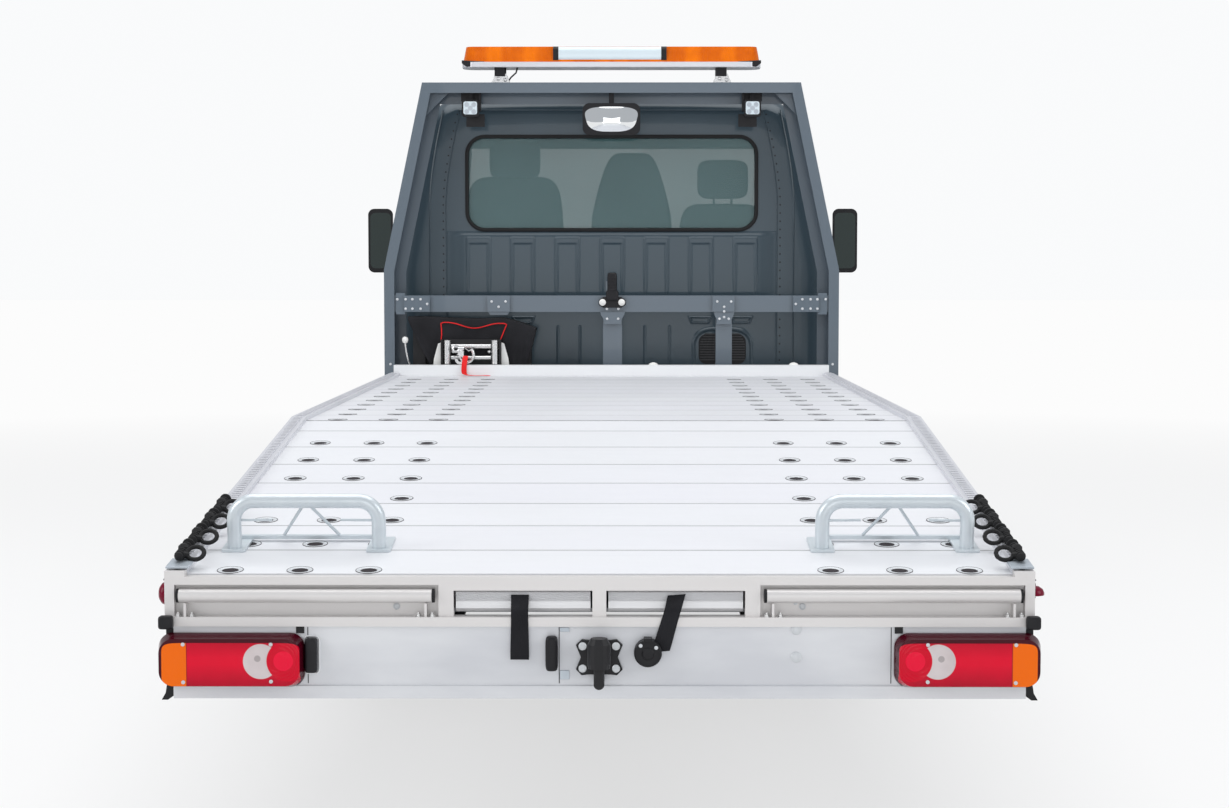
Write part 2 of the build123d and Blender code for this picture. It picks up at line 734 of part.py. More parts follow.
work_x = 685.0
work_half = 41.0
work_z = board_top_z - 123.0
lights = []
for x in (-work_x, work_x):
    lamp = front_area(Pos(x, work_z) * RectangleRounded(2 * work_half, 2 * work_half, 12), board_y + 8, board_y + 38)
    lamp += block(x - 30, x + 30, board_y + 38, board_y + 56, work_z - 30, work_z + 30)
    lamp += block(x - 10, x + 10, board_y + 40, board_y + 56, work_z + 30, board_top_z - board_plate)
    lights.append(lamp)
write("work_lights", group(lights))

mirror_z = board_top_z - 176.0
mirror_body = rounded_loft(0, mirror_z, (board_y + 4, 280, 154), (board_y + 54, 220, 110), 34)
mirror_body += block(-12, 12, board_y + 25, board_y + 45, mirror_z + 50, board_top_z - board_plate)
write("rear_view_mirror", mirror_body)

# Cab
floor_z = cab_rail_top
floor_plate = 40.0
sill_z = 350.0
side_wall = 55.0
skin = 40.0
firewall_y0 = front_axle_y - 100.0
firewall_y1 = firewall_y0 + 50.0
roof_z = 2270.0
cowl_z = 1290.0

CAB_SIDE = [
    (cab_back_y, sill_z),
    (cab_back_y, roof_z - 80),
    (cab_back_y + 60, roof_z - 22),
    (cab_back_y + 420, roof_z),
    (nose_y - 1640, roof_z - 12),
    (nose_y - 1490, roof_z - 62),
    (nose_y - 700, cowl_z),
    (nose_y - 420, cowl_z - 92),
    (nose_y - 150, cowl_z - 210),
    (nose_y - 50, cowl_z - 330),
    (nose_y - 14, cowl_z - 470),
    (nose_y, 640.0),
    (nose_y, 340.0),
    (nose_y - 60, 250.0),
    (nose_y - 450, 250.0),
    (nose_y - 520, sill_z),
]
# half widths of the cab at their heights
CAB_HALVES = (
    (half_cab - 30, 200.0),
    (half_cab, 620.0),
    (half_cab, 1150.0),
    (half_cab - 55, 1640.0),
    (half_cab - 125, 2100.0),
    (half_cab - 170, 2215.0),
    (half_cab - 260, roof_z + 10),
)
CAB_FRONT = [(-x, z) for x, z in CAB_HALVES] + [(x, z) for x, z in reversed(CAB_HALVES)]
# half widths of the cab at their places along it
CAB_PLAN_HALVES = (
    (half_cab, cab_back_y - 10),
    (half_cab, nose_y - 750),
    (half_cab - 36, nose_y - 420),
    (half_cab - 110, nose_y - 200),
    (half_cab - 240, nose_y - 60),
    (half_cab - 420, nose_y),
)
CAB_PLAN = [(-x, y) for x, y in CAB_PLAN_HALVES] + [(x, y) for x, y in reversed(CAB_PLAN_HALVES)]


def cab_form(inset_side, inset_skin):
    """Cab's outer form, its sides and its skin moved inward by the two insets."""
    side = Polygon(*CAB_SIDE, align=None)
    front = Polygon(*CAB_FRONT, align=None)
    plan = Polygon(*CAB_PLAN, align=None)
    if inset_skin:
        side = offset(side, amount=-inset_skin, kind=Kind.INTERSECTION)
    if inset_side:
        front = offset(front, amount=-inset_side, kind=Kind.INTERSECTION)
        plan = offset(plan, amount=-inset_side, kind=Kind.INTERSECTION)
    body = side_area(side, -half_cab - 5, half_cab + 5)
    body &= front_area(front, cab_back_y - 5, nose_y + 5)
    body &= extrude(plan, amount=roof_z + 100, dir=(0, 0, 1))
    return body


def grown(points, amount):
    """Outline moved outward by an amount."""
    face = Polygon(*points, align=None)
    return offset(face, amount=amount, kind=Kind.INTERSECTION)


liner_x0 = rail_x1 + 90.0
outer = cab_form(0, 0)
inner = cab_form(side_wall, skin)
cabin_space = inner & block(-half_cab, half_cab, cab_back_y, firewall_y0, floor_z + floor_plate, roof_z)
bay_space = inner & block(-half_cab, half_cab, firewall_y1, nose_y, floor_z, roof_z)
bay_bottom = block(-liner_x0, liner_x0, firewall_y1, nose_y - 120, 0, floor_z + 1)
underbody = block(-half_cab + 125, half_cab - 125, cab_back_y - 1, firewall_y1 + 1, 0, floor_z)
arch = x_rod(arch_radius, liner_x0, half_cab + 60, front_axle_y, tyre_radius)
arch_liner = x_rod(arch_radius + 12, liner_x0, half_cab - 60, front_axle_y, tyre_radius)
arch_liner &= block(0, half_cab, cab_back_y, nose_y, sill_z, roof_z)
arch_low = block(liner_x0, half_cab + 60, front_axle_y - arch_radius, front_axle_y + arch_radius, 0, tyre_radius)
arch_lip = x_rod(arch_radius + 36, half_cab - 60, half_cab + 14, front_axle_y, tyre_radius)
arch_lip &= block(0, half_cab + 60, cab_back_y, nose_y, sill_z, roof_z)

shell = outer - cabin_space - bay_space - bay_bottom - underbody
shell += twin(arch_liner)
shell += twin(arch_lip)
for side in (1, -1):
    shell -= place_side(arch, side)
    shell -= place_side(arch_low, side)

# Rear wall: embossed ribs under the window, and an arched vent with louvres
rib_count = 7
rib_width = 58.0
rib_proud = 9.0
ribs_half = 718.0
rib_low = 1372.0
rib_high = 1632.0
vent_x0 = 410.0
vent_x1 = 695.0
vent_low = 1015.0
vent_high = 1171.0
vent_depth = 22.0
louvre_count = 5
rib_pitch = (2 * ribs_half - rib_width) / (rib_count - 1)
for index in range(rib_count):
    x = -ribs_half + index * rib_pitch
    shell += block(x, x + rib_width, cab_back_y - rib_proud, cab_back_y, rib_low, rib_high)
vent_half = (vent_x1 - vent_x0) / 2
vent_x = (vent_x0 + vent_x1) / 2
vent_arch = [(vent_x + vent_half * cos(radians(angle)), vent_high - 60 + 60 * sin(radians(angle)))
             for angle in range(0, 181, 30)]
vent_face = [(vent_x1, vent_low), *vent_arch, (vent_x0, vent_low)]
shell -= front_prism(vent_face, cab_back_y - 1, cab_back_y + vent_depth)
louvre_pitch = (vent_high - vent_low - 30) / louvre_count
for index in range(louvre_count):
    z = vent_low + 12 + index * louvre_pitch
    bar = block(vent_x0 + 1, vent_x1 - 1, cab_back_y + 4, cab_back_y + vent_depth + 1, z, z + 8)
    shell += bar & front_prism(vent_face, cab_back_y - 1, cab_back_y + vent_depth + 2)

door_front_y = front_axle_y - 480.0
door_rear_y = cab_back_y + 100.0
door_low = 420.0
belt_z = 1300.0
DOOR = [
    (door_front_y, door_low),
    (door_front_y, 1790.0),
    (door_front_y - 235, 2060.0),
    (door_rear_y, 2060.0),
    (door_rear_y, door_low),
]
DOOR_WINDOW = [
    (door_front_y - 75, belt_z),
    (door_front_y - 75, 1770.0),
    (door_front_y - 250, 1970.0),
    (door_rear_y + 80, 1970.0),
    (door_rear_y + 80, belt_z),
]
QUARTER = [
    (door_front_y + 60, belt_z),
    (door_front_y + 60, 1640.0),
    (door_front_y + 330, belt_z + 30),
    (door_front_y + 330, belt_z),
]
SCREEN = [
    (-880.0, cowl_z + 80),
    (880.0, cowl_z + 80),
    (770.0, roof_z - 140),
    (-770.0, roof_z - 140),
]
window_half = 716.0
window_low = 1672.0
window_high = 2127.0
window_corner = 88.0
glass_form = cab_form(8, 8) - cab_form(13, 13)
wall_low_x = half_cab - 260

wall_form = outer - inner
door_cut = side_prism(DOOR, wall_low_x, half_cab + 60)
door_body = wall_form & side_area(grown(DOOR, -panel_gap), wall_low_x, half_cab + 60)
window_cut = side_prism(DOOR_WINDOW, wall_low_x, half_cab + 60)
door_body -= window_cut
door_glass = glass_form & window_cut
quarter_cut = side_prism(QUARTER, wall_low_x, half_cab + 60)
quarter_glass = glass_form & quarter_cut
handle = side_area(Pos(door_rear_y + 130, belt_z - 150) * RectangleRounded(180, 44, 20),
                   half_cab - 18, half_cab + 6)
handle_cut = side_area(Pos(door_rear_y + 130, belt_z - 150) * RectangleRounded(120, 70, 20),
                       half_cab - 22, half_cab + 6)
door_body = door_body - handle_cut + handle
moulding = block(half_cab - 20, half_cab + 10, door_rear_y + panel_gap, door_front_y - panel_gap, 700, 780)
door_body += moulding

for side in (1, -1):
    shell -= place_side(door_cut, side)
    shell -= place_side(quarter_cut, side)
screen_cut = front_prism(SCREEN, nose_y - 1600, nose_y - 500)
rear_cut = front_area(Pos(0, (window_low + window_high) / 2)
                      * RectangleRounded(2 * window_half, window_high - window_low, window_corner),
                      cab_back_y - 20, cab_back_y + 80)
shell -= screen_cut
shell -= rear_cut
windscreen = glass_form & screen_cut
rear_window = glass_form & rear_cut

bonnet_rear_y = nose_y - 690.0
bonnet_front_y = nose_y - 180.0
BONNET = [
    (-830.0, bonnet_rear_y),
    (830.0, bonnet_rear_y),
    (800.0, bonnet_front_y),
    (-800.0, bonnet_front_y),
]
above_bay = cowl_z - 290
bonnet_cut = Pos(0, 0, above_bay) * extrude(Polygon(*BONNET, align=None), amount=500, dir=(0, 0, 1))
bonnet_body = wall_form & (Pos(0, 0, above_bay) * extrude(grown(BONNET, -panel_gap), amount=500, dir=(0, 0, 1)))
shell -= bonnet_cut

bumper_top = 660.0
grille_half = 520.0
grille_top = 905.0
slat_gap = 30.0
slat_height = 22.0
bumper_box = block(-half_cab - 70, half_cab + 70, nose_y - 470, nose_y + 10, 0, bumper_top)
front_bumper = shell & bumper_box
shell -= bumper_box
for z in (380.0, 470.0):
    front_bumper -= block(-480, 480, nose_y - 70, nose_y + 10, z, z + 60)
grille_box = block(-grille_half, grille_half, nose_y - 200, nose_y + 10, bumper_top, grille_top)
grille = shell & grille_box
shell -= grille_box
grille_slots = int((grille_top - bumper_top - 40) / (slat_gap + slat_height))
for index in range(grille_slots):
    z = bumper_top + 24 + index * (slat_gap + slat_height)
    grille -= block(-grille_half + 40, grille_half - 40, nose_y - 200, nose_y + 10, z, z + slat_gap)
lamp_box = block(560, 930, nose_y - 420, nose_y + 10, 740, 1000)
headlamp = shell & lamp_box
for side in (1, -1):
    shell -= place_side(lamp_box, side)

# Hinge blocks on the pillars and the cowl, a running gap away from the door and the bonnet
hinge_height = 60.0
HINGES = (620.0, 1080.0)
bonnet_hinge_x = 560.0
hinge_blocks = [
    block(half_cab - 50, half_cab - 22, door_front_y - panel_gap + seat_gap, door_front_y + 4, z, z + hinge_height)
    for z in HINGES
]
hinge_blocks.append(block(bonnet_hinge_x, bonnet_hinge_x + hinge_height, bonnet_rear_y - 4,
                          bonnet_rear_y + panel_gap - seat_gap, cowl_z - 42, cowl_z - 22))
for piece in hinge_blocks:
    shell += piece
    shell += mirror(piece, about=Plane.YZ)
write("cab_shell", shell)
write("front_bumper", front_bumper)
write("front_grille", grille)
write("cab_glass", group([windscreen, rear_window, twin(quarter_glass)]))
write("headlamps", twin(headlamp))
write("bonnet", bonnet_body)

# Door mirrors on two arms
glass_low = 1455.0
glass_high = 1800.0
head_x0 = half_cab + 165.0
head_x1 = half_cab + 300.0
head_y0 = door_front_y - 112.0
head_depth = 100.0
arm_y0 = door_front_y - 66.0
mirror_arms = block(half_cab - 70, head_x0 + 40, arm_y0, arm_y0 + 40, 1500, 1535)
mirror_arms += block(half_cab - 70, head_x0 + 40, arm_y0, arm_y0 + 40, 1600, 1635)
mirror_arms -= outer
mirror_head = rounded_loft((head_x0 + head_x1) / 2, (glass_low + glass_high) / 2,
                           (head_y0, head_x1 - head_x0, glass_high - glass_low),
                           (head_y0 + head_depth, head_x1 - head_x0 - 40, glass_high - glass_low - 80), 34)
for name, side in SIDES:
    write("door_" + name, place_side(door_body, side))
    write("door_glass_" + name, place_side(door_glass, side))
    write("door_mirror_" + name, place_side(mirror_arms + mirror_head, side))

# Cab inside
seat_z = floor_z + floor_plate
seat_y = cab_back_y + 230.0
cushion_z = seat_z + 390.0
cushion_height = 140.0
back_height = 700.0
headrest_height = 200.0
# left and right edge of each seat, then the middle, width and gap below of each headrest
SEATS = (
    (-760.0, -240.0, ((-495.0, 260.0, 120.0),)),
    (-130.0, 790.0, ((95.0, 350.0, 20.0), (565.0, 260.0, 20.0))),
)


def seat(x0, x1, headrests):
    """Seat with its base, cushion, back and headrests between two x places."""
    base = block(x0 + 40, x1 - 40, seat_y + 60, seat_y + 460, seat_z, cushion_z)
    cushion = block(x0, x1, seat_y + 60, seat_y + 520, cushion_z, cushion_z + cushion_height)
    back_top = cushion_z + cushion_height + back_height
    back = side_prism(
        [(seat_y + 60, cushion_z + 20), (seat_y + 150, cushion_z + cushion_height), (seat_y + 100, back_top - 30),
         (seat_y + 70, back_top), (seat_y + 20, back_top - 10), (seat_y, back_top - 60)],
        x0, x1)
    shape = base + cushion + back
    for x, width, gap in headrests:
        low = back_top + gap
        shape += block(x - 60, x + 60, seat_y + 40, seat_y + 60, back_top - 20, low + 30)
        shape += front_area(Pos(x, low + headrest_height / 2) * RectangleRounded(width, headrest_height, 50),
                            seat_y + 5, seat_y + 95)
    return shape


write("seats", group([seat(*row) for row in SEATS]))
dash_top = 1240.0
dash_low = 900.0
column_x = -500.0
dash = side_prism(
    [(firewall_y0, dash_low), (firewall_y0, dash_top), (firewall_y0 - 180, dash_top - 30),
     (firewall_y0 - 330, dash_top - 140), (firewall_y0 - 300, dash_low)], -930, 930)
column = Location((column_x, firewall_y0 - 395, 1130), (58, 0, 0))
ring = many_sided(200, 24) - many_sided(176, 24)
steering = extrude(ring, amount=24, dir=(0, 0, 1)) + Pos(0, 0, 12) * Box(370, 40, 14)
steering += Pos(0, 0, 12) * Box(120, 90, 24)
steering += Pos(0, 0, -90) * Box(50, 50, 200)
write("dashboard", dash + column * steering)

# Running gear
# half width and radius of each section of the tyre
TYRE_SECTIONS = ((0, 255), (9, 325), (34, 349))
bead = 12.0
barrel_wall = 14.0
disc_out = 48.0
disc_thickness = 16.0
hub_radius = 74.0
hub_out = 30.0
hub_in = 90.0
vent_circle = 122.0
vent_count = 8
half_tyre = tyre_width / 2


def tyre(x):
    """Tyre with rounded shoulders, on the axis through x."""
    sections = []
    for inset, radius in TYRE_SECTIONS:
        sections.append((-half_tyre + inset, radius))
    for inset, radius in reversed(TYRE_SECTIONS):
        sections.append((half_tyre - inset, radius))
    faces = [Pos(place, 0, 0) * (Plane.YZ * many_sided(radius, tyre_sides)) for place, radius in sections]
    solid = loft(faces, ruled=True) - x_drum(rim_radius, tyre_sides, -half_tyre - 1, half_tyre + 1, 0, 0)
    return Pos(x, 0, 0) * solid


def rim(x):
    """Steel wheel: barrel, vented disc and hub with its bore."""
    edge = half_tyre - bead
    wheel = x_drum(rim_radius, tyre_sides, -edge, edge, 0, 0)
    wheel -= x_drum(rim_radius - barrel_wall, tyre_sides, -edge - 1, edge + 1, 0, 0)
    disc = many_sided(rim_radius - barrel_wall, tyre_sides)
    for index in range(vent_count):
        disc -= Rot(0, 0, index * 360 / vent_count) * Pos(vent_circle, 0) * many_sided(22, 6)
    wheel += side_area(disc, half_tyre - disc_out - disc_thickness, half_tyre - disc_out)
    wheel += x_drum(hub_radius, 18, half_tyre - hub_in, half_tyre - hub_out, 0, 0)
    wheel -= x_rod(stub_radius + running_fit, half_tyre - hub_in - 1, half_tyre - hub_out + 1, 0, 0)
    return Pos(x, 0, 0) * wheel


for end, y in (("front", front_axle_y), ("rear", rear_axle_y)):
    for name, side in SIDES:
        centre = Pos(0, y, tyre_radius)
        write("tyre_" + end + "_" + name, place_side(centre * tyre(wheel_x), side))
        write("rim_" + end + "_" + name, place_side(centre * rim(wheel_x), side))

hub_inner_x = wheel_x + half_tyre - hub_in
hub_outer_x = wheel_x + half_tyre - hub_out
kingpin_x = wheel_x - kingpin_offset
arm_z = tyre_radius - 120.0
strut_x = kingpin_x - 86.0
knuckle = block(kingpin_x - 22, kingpin_x + 22, front_axle_y - 22, front_axle_y + 22, arm_z + 24, tyre_radius + 130)
knuckle += block(kingpin_x - 30, kingpin_x + 30, front_axle_y - 45, front_axle_y + 45,
                 tyre_radius - 50, tyre_radius + 50)
knuckle += x_rod(stub_radius, kingpin_x, hub_outer_x - 4, front_axle_y, tyre_radius)
knuckle += x_drum(44, 12, kingpin_x + 20, hub_inner_x - seat_gap, front_axle_y, tyre_radius)
knuckle += Pos(strut_x, front_axle_y, tyre_radius + 90) * extrude(many_sided(24, 12), amount=rail_top_z + 50
                                                                  - tyre_radius - 90, dir=(0, 0, 1))
knuckle += block(kingpin_x - 110, kingpin_x, front_axle_y - 24, front_axle_y + 24,
                 tyre_radius + 80, tyre_radius + 132)
for name, side in SIDES:
    write("knuckle_" + name, place_side(knuckle, side))

arm = block(300, kingpin_x + 24, front_axle_y - 34, front_axle_y + 34, arm_z - 20, arm_z + 12)
arm += block(rail_x0, rail_x1 - 10, front_axle_y - 60, front_axle_y + 60, arm_z - 20, cab_rail_top - rail_depth)
beam = block(-rail_x0 - 20, rail_x0 + 20, front_axle_y - 60, front_axle_y + 60, arm_z - 20, arm_z + 30)
pin = Pos(kingpin_x, front_axle_y, arm_z + 12) * extrude(many_sided(10, 12), amount=12 - seat_gap, dir=(0, 0, 1))
write("front_axle", beam + arm + mirror(arm, about=Plane.YZ) + pin + mirror(pin, about=Plane.YZ))

axle = x_drum(42, 16, -hub_inner_x + seat_gap, hub_inner_x - seat_gap, rear_axle_y, tyre_radius)
axle += x_rod(stub_radius, -hub_outer_x + 4, hub_outer_x - 4, rear_axle_y, tyre_radius)
write("rear_axle", axle)

spring_x = 560.0
spring_half = 640.0
leaf_half = 35.0
spring_eye_z = rail_top_z - 150.0
spring_seat_z = tyre_radius + 42.0
spring = side_prism(
    [
        (rear_axle_y - spring_half, spring_eye_z), (rear_axle_y - 100, spring_seat_z),
        (rear_axle_y + 100, spring_seat_z), (rear_axle_y + spring_half, spring_eye_z),
        (rear_axle_y + spring_half, spring_eye_z + 20), (rear_axle_y + 100, spring_seat_z + 24),
        (rear_axle_y - 100, spring_seat_z + 24), (rear_axle_y - spring_half, spring_eye_z + 20),
    ],
    spring_x - leaf_half, spring_x + leaf_half)
for y in (rear_axle_y - spring_half, rear_axle_y + spring_half - 40):
    spring += block(rail_x1, spring_x + leaf_half, y, y + 40, spring_eye_z + 4, rail_top_z - 60)
write("leaf_springs", twin(spring))

engine_height = 460.0
write("engine", block(-rail_x0 - 30, rail_x0 + 30, firewall_y1 + 60, nose_y - 330, cab_rail_top,
                      cab_rail_top + engine_height))
tank_y = rear_axle_y + tank_mount + 100
write("fuel_tank", block(-rail_x1, rail_x0 - 270, tank_y, tank_y + 700, 380, rail_top_z - rail_depth))

exhaust_x = 240.0
exhaust_z = 480.0
hanger_top = rail_top_z - rail_depth / 2 - cross_half - seat_gap
silencer = Pos(exhaust_x, rear_axle_y + 520, exhaust_z) * extrude(Plane.XZ * many_sided(80, 12), amount=580,
                                                                 dir=(0, 1, 0))
pipe = Pos(exhaust_x, rear_axle_y + 400, exhaust_z) * extrude(Plane.XZ * many_sided(28, 12), amount=3000,
                                                             dir=(0, 1, 0))
exhaust = silencer + pipe
for y in (rear_axle_y + exhaust_mount, rear_axle_y + tank_mount):
    exhaust += block(exhaust_x - 4, exhaust_x + 4, y - 12, y + 12, exhaust_z, hanger_top)
write("exhaust", exhaust)

guard_gap = 45.0
guard_plate = 4.0
guard_half = 130.0
guard_radius = tyre_radius + guard_gap
guard = x_drum(guard_radius + guard_plate, tyre_sides, wheel_x - guard_half, wheel_x + guard_half,
               rear_axle_y, tyre_radius)
guard -= x_drum(guard_radius, tyre_sides, wheel_x - guard_half - 1, wheel_x + guard_half + 1,
                rear_axle_y, tyre_radius)
guard &= block(0, half_deck + 60, rear_axle_y - 500, rear_axle_y + 500, tyre_radius + 30, deck_height)
guard_top = tyre_radius + guard_radius + guard_plate
guard += block(beam_x1, wheel_x, rear_axle_y - 15, rear_axle_y + 15, guard_top - 1.5, guard_top + 5)
write("mudguards", twin(guard))
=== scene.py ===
"""Dresses the car transporter: camera, light, finishes and the small pieces that the solids leave out.

Lengths are metres in the vehicle's frame. Places come from the solids' own boxes where a box gives
them, and otherwise from sizes read off the photograph.
"""

import math

import bpy
import numpy as np
from bpy.props import FloatProperty, FloatVectorProperty, PointerProperty
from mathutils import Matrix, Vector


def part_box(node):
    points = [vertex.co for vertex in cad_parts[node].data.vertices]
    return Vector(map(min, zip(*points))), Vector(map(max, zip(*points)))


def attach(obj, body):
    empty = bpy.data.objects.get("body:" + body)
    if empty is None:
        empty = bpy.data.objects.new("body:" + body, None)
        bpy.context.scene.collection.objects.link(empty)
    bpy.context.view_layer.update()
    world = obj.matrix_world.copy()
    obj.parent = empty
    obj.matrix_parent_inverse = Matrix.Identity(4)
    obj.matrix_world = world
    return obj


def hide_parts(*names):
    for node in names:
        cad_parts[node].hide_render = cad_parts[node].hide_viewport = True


bl_info = {
    "name": "Car Transporter Dressing",
    "version": (1, 0, 0),
    "blender": (4, 5, 0),
    "location": "3D View > Sidebar > Transporter",
    "description": "Finishes, lamps, fittings and soft goods for a planked car transporter",
    "category": "Object",
}

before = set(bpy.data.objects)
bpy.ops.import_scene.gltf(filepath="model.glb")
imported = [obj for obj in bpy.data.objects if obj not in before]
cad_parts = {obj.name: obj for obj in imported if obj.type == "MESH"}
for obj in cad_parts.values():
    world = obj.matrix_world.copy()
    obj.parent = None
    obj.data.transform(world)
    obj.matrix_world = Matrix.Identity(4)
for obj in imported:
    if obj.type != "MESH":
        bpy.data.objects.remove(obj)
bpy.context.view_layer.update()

# Sizes that the photograph's frame and the solids give
slope_angle = math.radians(6.95)
slope_cos = math.cos(slope_angle)
slope_sin = math.sin(slope_angle)
level_low, level_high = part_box("deck_planks_level")
deck_z = level_high.z
knee_y = level_low.y - 0.001
deck_front_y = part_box("side_rails")[1].y
rear_edge_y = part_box("bumper_board")[0].y + 0.012
slope_length = (knee_y - rear_edge_y) / slope_cos
rear_edge_z = deck_z - slope_length * slope_sin
half_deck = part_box("side_rails")[1].x
plank_pitch = 0.258
hole_columns = (0.573, 0.744, 0.917)
cab_back_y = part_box("cab_glass")[0].y - 0.008
half_cab = 1.025
board_low, board_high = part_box("headboard_frame")
window_size = (1.438, 0.461)
window_z = 1.8995
vent_x = 0.5525
lamp_x = 0.685
lamp_z = 2.254
wheel_bolt_circle = 0.059
SIDES = (("left", -1), ("right", 1))


# Meshes


class Form:
    """Collects grids of points into one mesh."""

    def __init__(self):
        self.points = []
        self.faces = []
        self.count = 0

    def grid(self, points, close_u=False, close_v=False, caps=False):
        """Quads over an array of rows and columns of points; either way round may close on itself."""
        rows, columns = points.shape[:2]
        number = np.arange(rows * columns).reshape(rows, columns) + self.count
        down = np.roll(number, -1, 0) if close_u else number[1:]
        here = number if close_u else number[:-1]
        if close_v:
            quads = np.stack([here, down, np.roll(down, -1, 1), np.roll(here, -1, 1)], -1)
        else:
            quads = np.stack([here[:, :-1], down[:, :-1], down[:, 1:], here[:, 1:]], -1)
        self.points.append(points.reshape(-1, 3))
        self.faces.extend(map(tuple, quads.reshape(-1, 4)))
        if caps:
            self.faces.append(tuple(number[0]))
            self.faces.append(tuple(number[-1][::-1]))
        self.count += rows * columns
        return self

    def copies(self, other, places=(0, 0, 0)):
        """The other form once for each row of places, moved by it; without places, as it is."""
        base = np.concatenate(other.points)
        for place in np.asarray(places, float).reshape(-1, 3):
            self.points.append(base + place)
            self.faces.extend(tuple(i + self.count for i in face) for face in other.faces)
            self.count += len(base)
        return self

    def turned(self, matrix):
        """A copy with every point multiplied by a three by three matrix."""
        other = Form().copies(self)
        other.points = [other.points[0] @ np.asarray(matrix, float).T]
        return other

    def mirrored(self):
        """A copy on the other side of the middle plane, with its faces turned the right way."""
        other = self.turned(np.diag((-1, 1, 1)))
        other.faces = [tuple(reversed(face)) for face in other.faces]
        return other

    def build(self, name, finish, body="chassis", slot=None, bevel=0.0, smooth=True):
        """Mesh object at the origin, faces outward, on a body, with the finish's material; the slot argument
        is not used.
        """
        mesh = bpy.data.meshes.new(name)
        mesh.from_pydata(np.concatenate(self.points).tolist(), [], self.faces)
        mesh.validate()
        piece = bpy.data.objects.new(name, mesh)
        bpy.context.scene.collection.objects.link(piece)
        mesh.materials.append(FINISHES[finish].material)
        outward(mesh)
        mesh.polygons.foreach_set("use_smooth", [smooth] * len(mesh.polygons))
        if bevel:
            edge = piece.modifiers.new("edge", "BEVEL")
            edge.width = bevel
            edge.segments = 2
            edge.limit_method = "ANGLE"
            edge.harden_normals = False
        if smooth:
            mesh.set_sharp_from_angle(angle=math.radians(40))
        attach(piece, body)
        return piece


def outward(mesh):
    """Points every face away from the inside of its shell."""
    import bmesh

    work = bmesh.new()
    work.from_mesh(mesh)
    bmesh.ops.remove_doubles(work, verts=work.verts, dist=1e-6)
    bmesh.ops.recalc_face_normals(work, faces=work.faces)
    work.to_mesh(mesh)
    work.free()


def loft(rows):
    """Closed form through rows of points, every row a closed ring, with both ends capped."""
    return Form().grid(np.asarray(rows), close_v=True, caps=True)


def resample(points, count, closed=False):
    """Points at even shares of a path's corners, joined by straight lines."""
    points = np.asarray(points, float)
    if closed:
        points = np.concatenate([points, points[:1]])
    steps = np.linspace(0, len(points) - 1, count + closed)[:count]
    return np.column_stack([np.interp(steps, np.arange(len(points)), axis) for axis in points.T])


def turned_profile(profile, sides=32, start=0.0):
    """Lathe: each (radius, height) of the profile goes round the Z axis; point = (r cos a, r sin a, h)."""
    profile = np.asarray(profile, float)
    angle = start + np.arange(sides) * 2 * np.pi / sides
    radius = profile[:, :1]
    return np.stack([radius * np.cos(angle), radius * np.sin(angle), np.repeat(profile[:, 1:], sides, 1)],
                    -1)


def lathe(profile, sides=32, start=0.0):
    """Closed lathe form about the Z axis, with both ends capped."""
    return loft(turned_profile(profile, sides, start))


def power(value, exponent):
    """Signed power: the size goes to the exponent, the sign stays."""
    return np.sign(value) * np.abs(value) ** exponent


def pillow(centre, half, square=0.45, rows=24, columns=40, flat=0.35):
    """Super-ellipsoid: x, y, z are half sizes times signed powers of cosines and sines of two angles."""
    v = np.linspace(-np.pi / 2 + 0.02, np.pi / 2 - 0.02, rows)[:, None]
    u = np.linspace(0, 2 * np.pi, columns, endpoint=False)[None, :]
    ring = power(np.cos(v), flat)
    points = np.stack([
        half[0] * ring * power(np.cos(u), square),
        half[1] * ring * power(np.sin(u), square),
        half[2] * power(np.sin(v), flat) * np.ones_like(u)], -1)
    return loft(points + np.asarray(centre, float))


def tube(path, radius, sides=12, closed=False, squash=(1.0, 1.0)):
    """Ring of points round each point of a path, square to it: centre + r (n cos a + b sin a)."""
    path = np.asarray(path, float)
    if closed:
        ahead = np.roll(path, -1, 0) - np.roll(path, 1, 0)
    else:
        ahead = np.gradient(path, axis=0)
    ahead /= np.linalg.norm(ahead, axis=1, keepdims=True)
    side = np.cross(ahead, np.eye(3)[np.abs(ahead).mean(0).argmin()])
    side /= np.linalg.norm(side, axis=1, keepdims=True)
    up = np.cross(side, ahead)
    angle = np.arange(sides) * 2 * np.pi / sides
    cosine, sine = np.cos(angle)[:, None], np.sin(angle)[:, None]
    ring = side[:, None] * cosine * squash[0] + up[:, None] * sine * squash[1]
    radius = np.broadcast_to(np.asarray(radius, float).reshape(-1, 1, 1), (len(path), 1, 1))
    return Form().grid(path[:, None] + ring * radius, close_u=closed, close_v=True, caps=not closed)


def bar(low, high):
    """Six-sided bar between two corners, as a square ring carried from one end to the other."""
    (x0, y0, z0), (x1, y1, z1) = low, high
    ring = np.array([(y0, z0), (y1, z0), (y1, z1), (y0, z1)])
    ends = [np.column_stack([np.full(4, x), ring]) for x in (x0, x1)]
    return loft(ends)


def plate(outline, y0, y1):
    """Outline in X and Z, carried from y0 to y1."""
    outline = np.asarray(outline, float)
    ends = [np.column_stack([outline[:, 0], np.full(len(outline), y), outline[:, 1]]) for y in (y0, y1)]
    return loft(ends)


def slab(outline, x0, x1):
    """Outline in Y and Z, carried from x0 to x1."""
    outline = np.asarray(outline, float)
    return loft([np.column_stack([np.full(len(outline), x), outline]) for x in (x0, x1)])


def rounded_outline(width, height, corner, steps=8):
    """Rounded rectangle about the origin: quarter circles joined by straight sides."""
    angle = np.linspace(0, np.pi / 2, steps)
    points = []
    for turn, (sx, sz) in enumerate(((1, 1), (-1, 1), (-1, -1), (1, -1))):
        centre = np.array([sx * (width / 2 - corner), sz * (height / 2 - corner)])
        a = angle + turn * np.pi / 2
        points.append(centre + corner * np.column_stack([np.cos(a), np.sin(a)]))
    return np.concatenate(points)


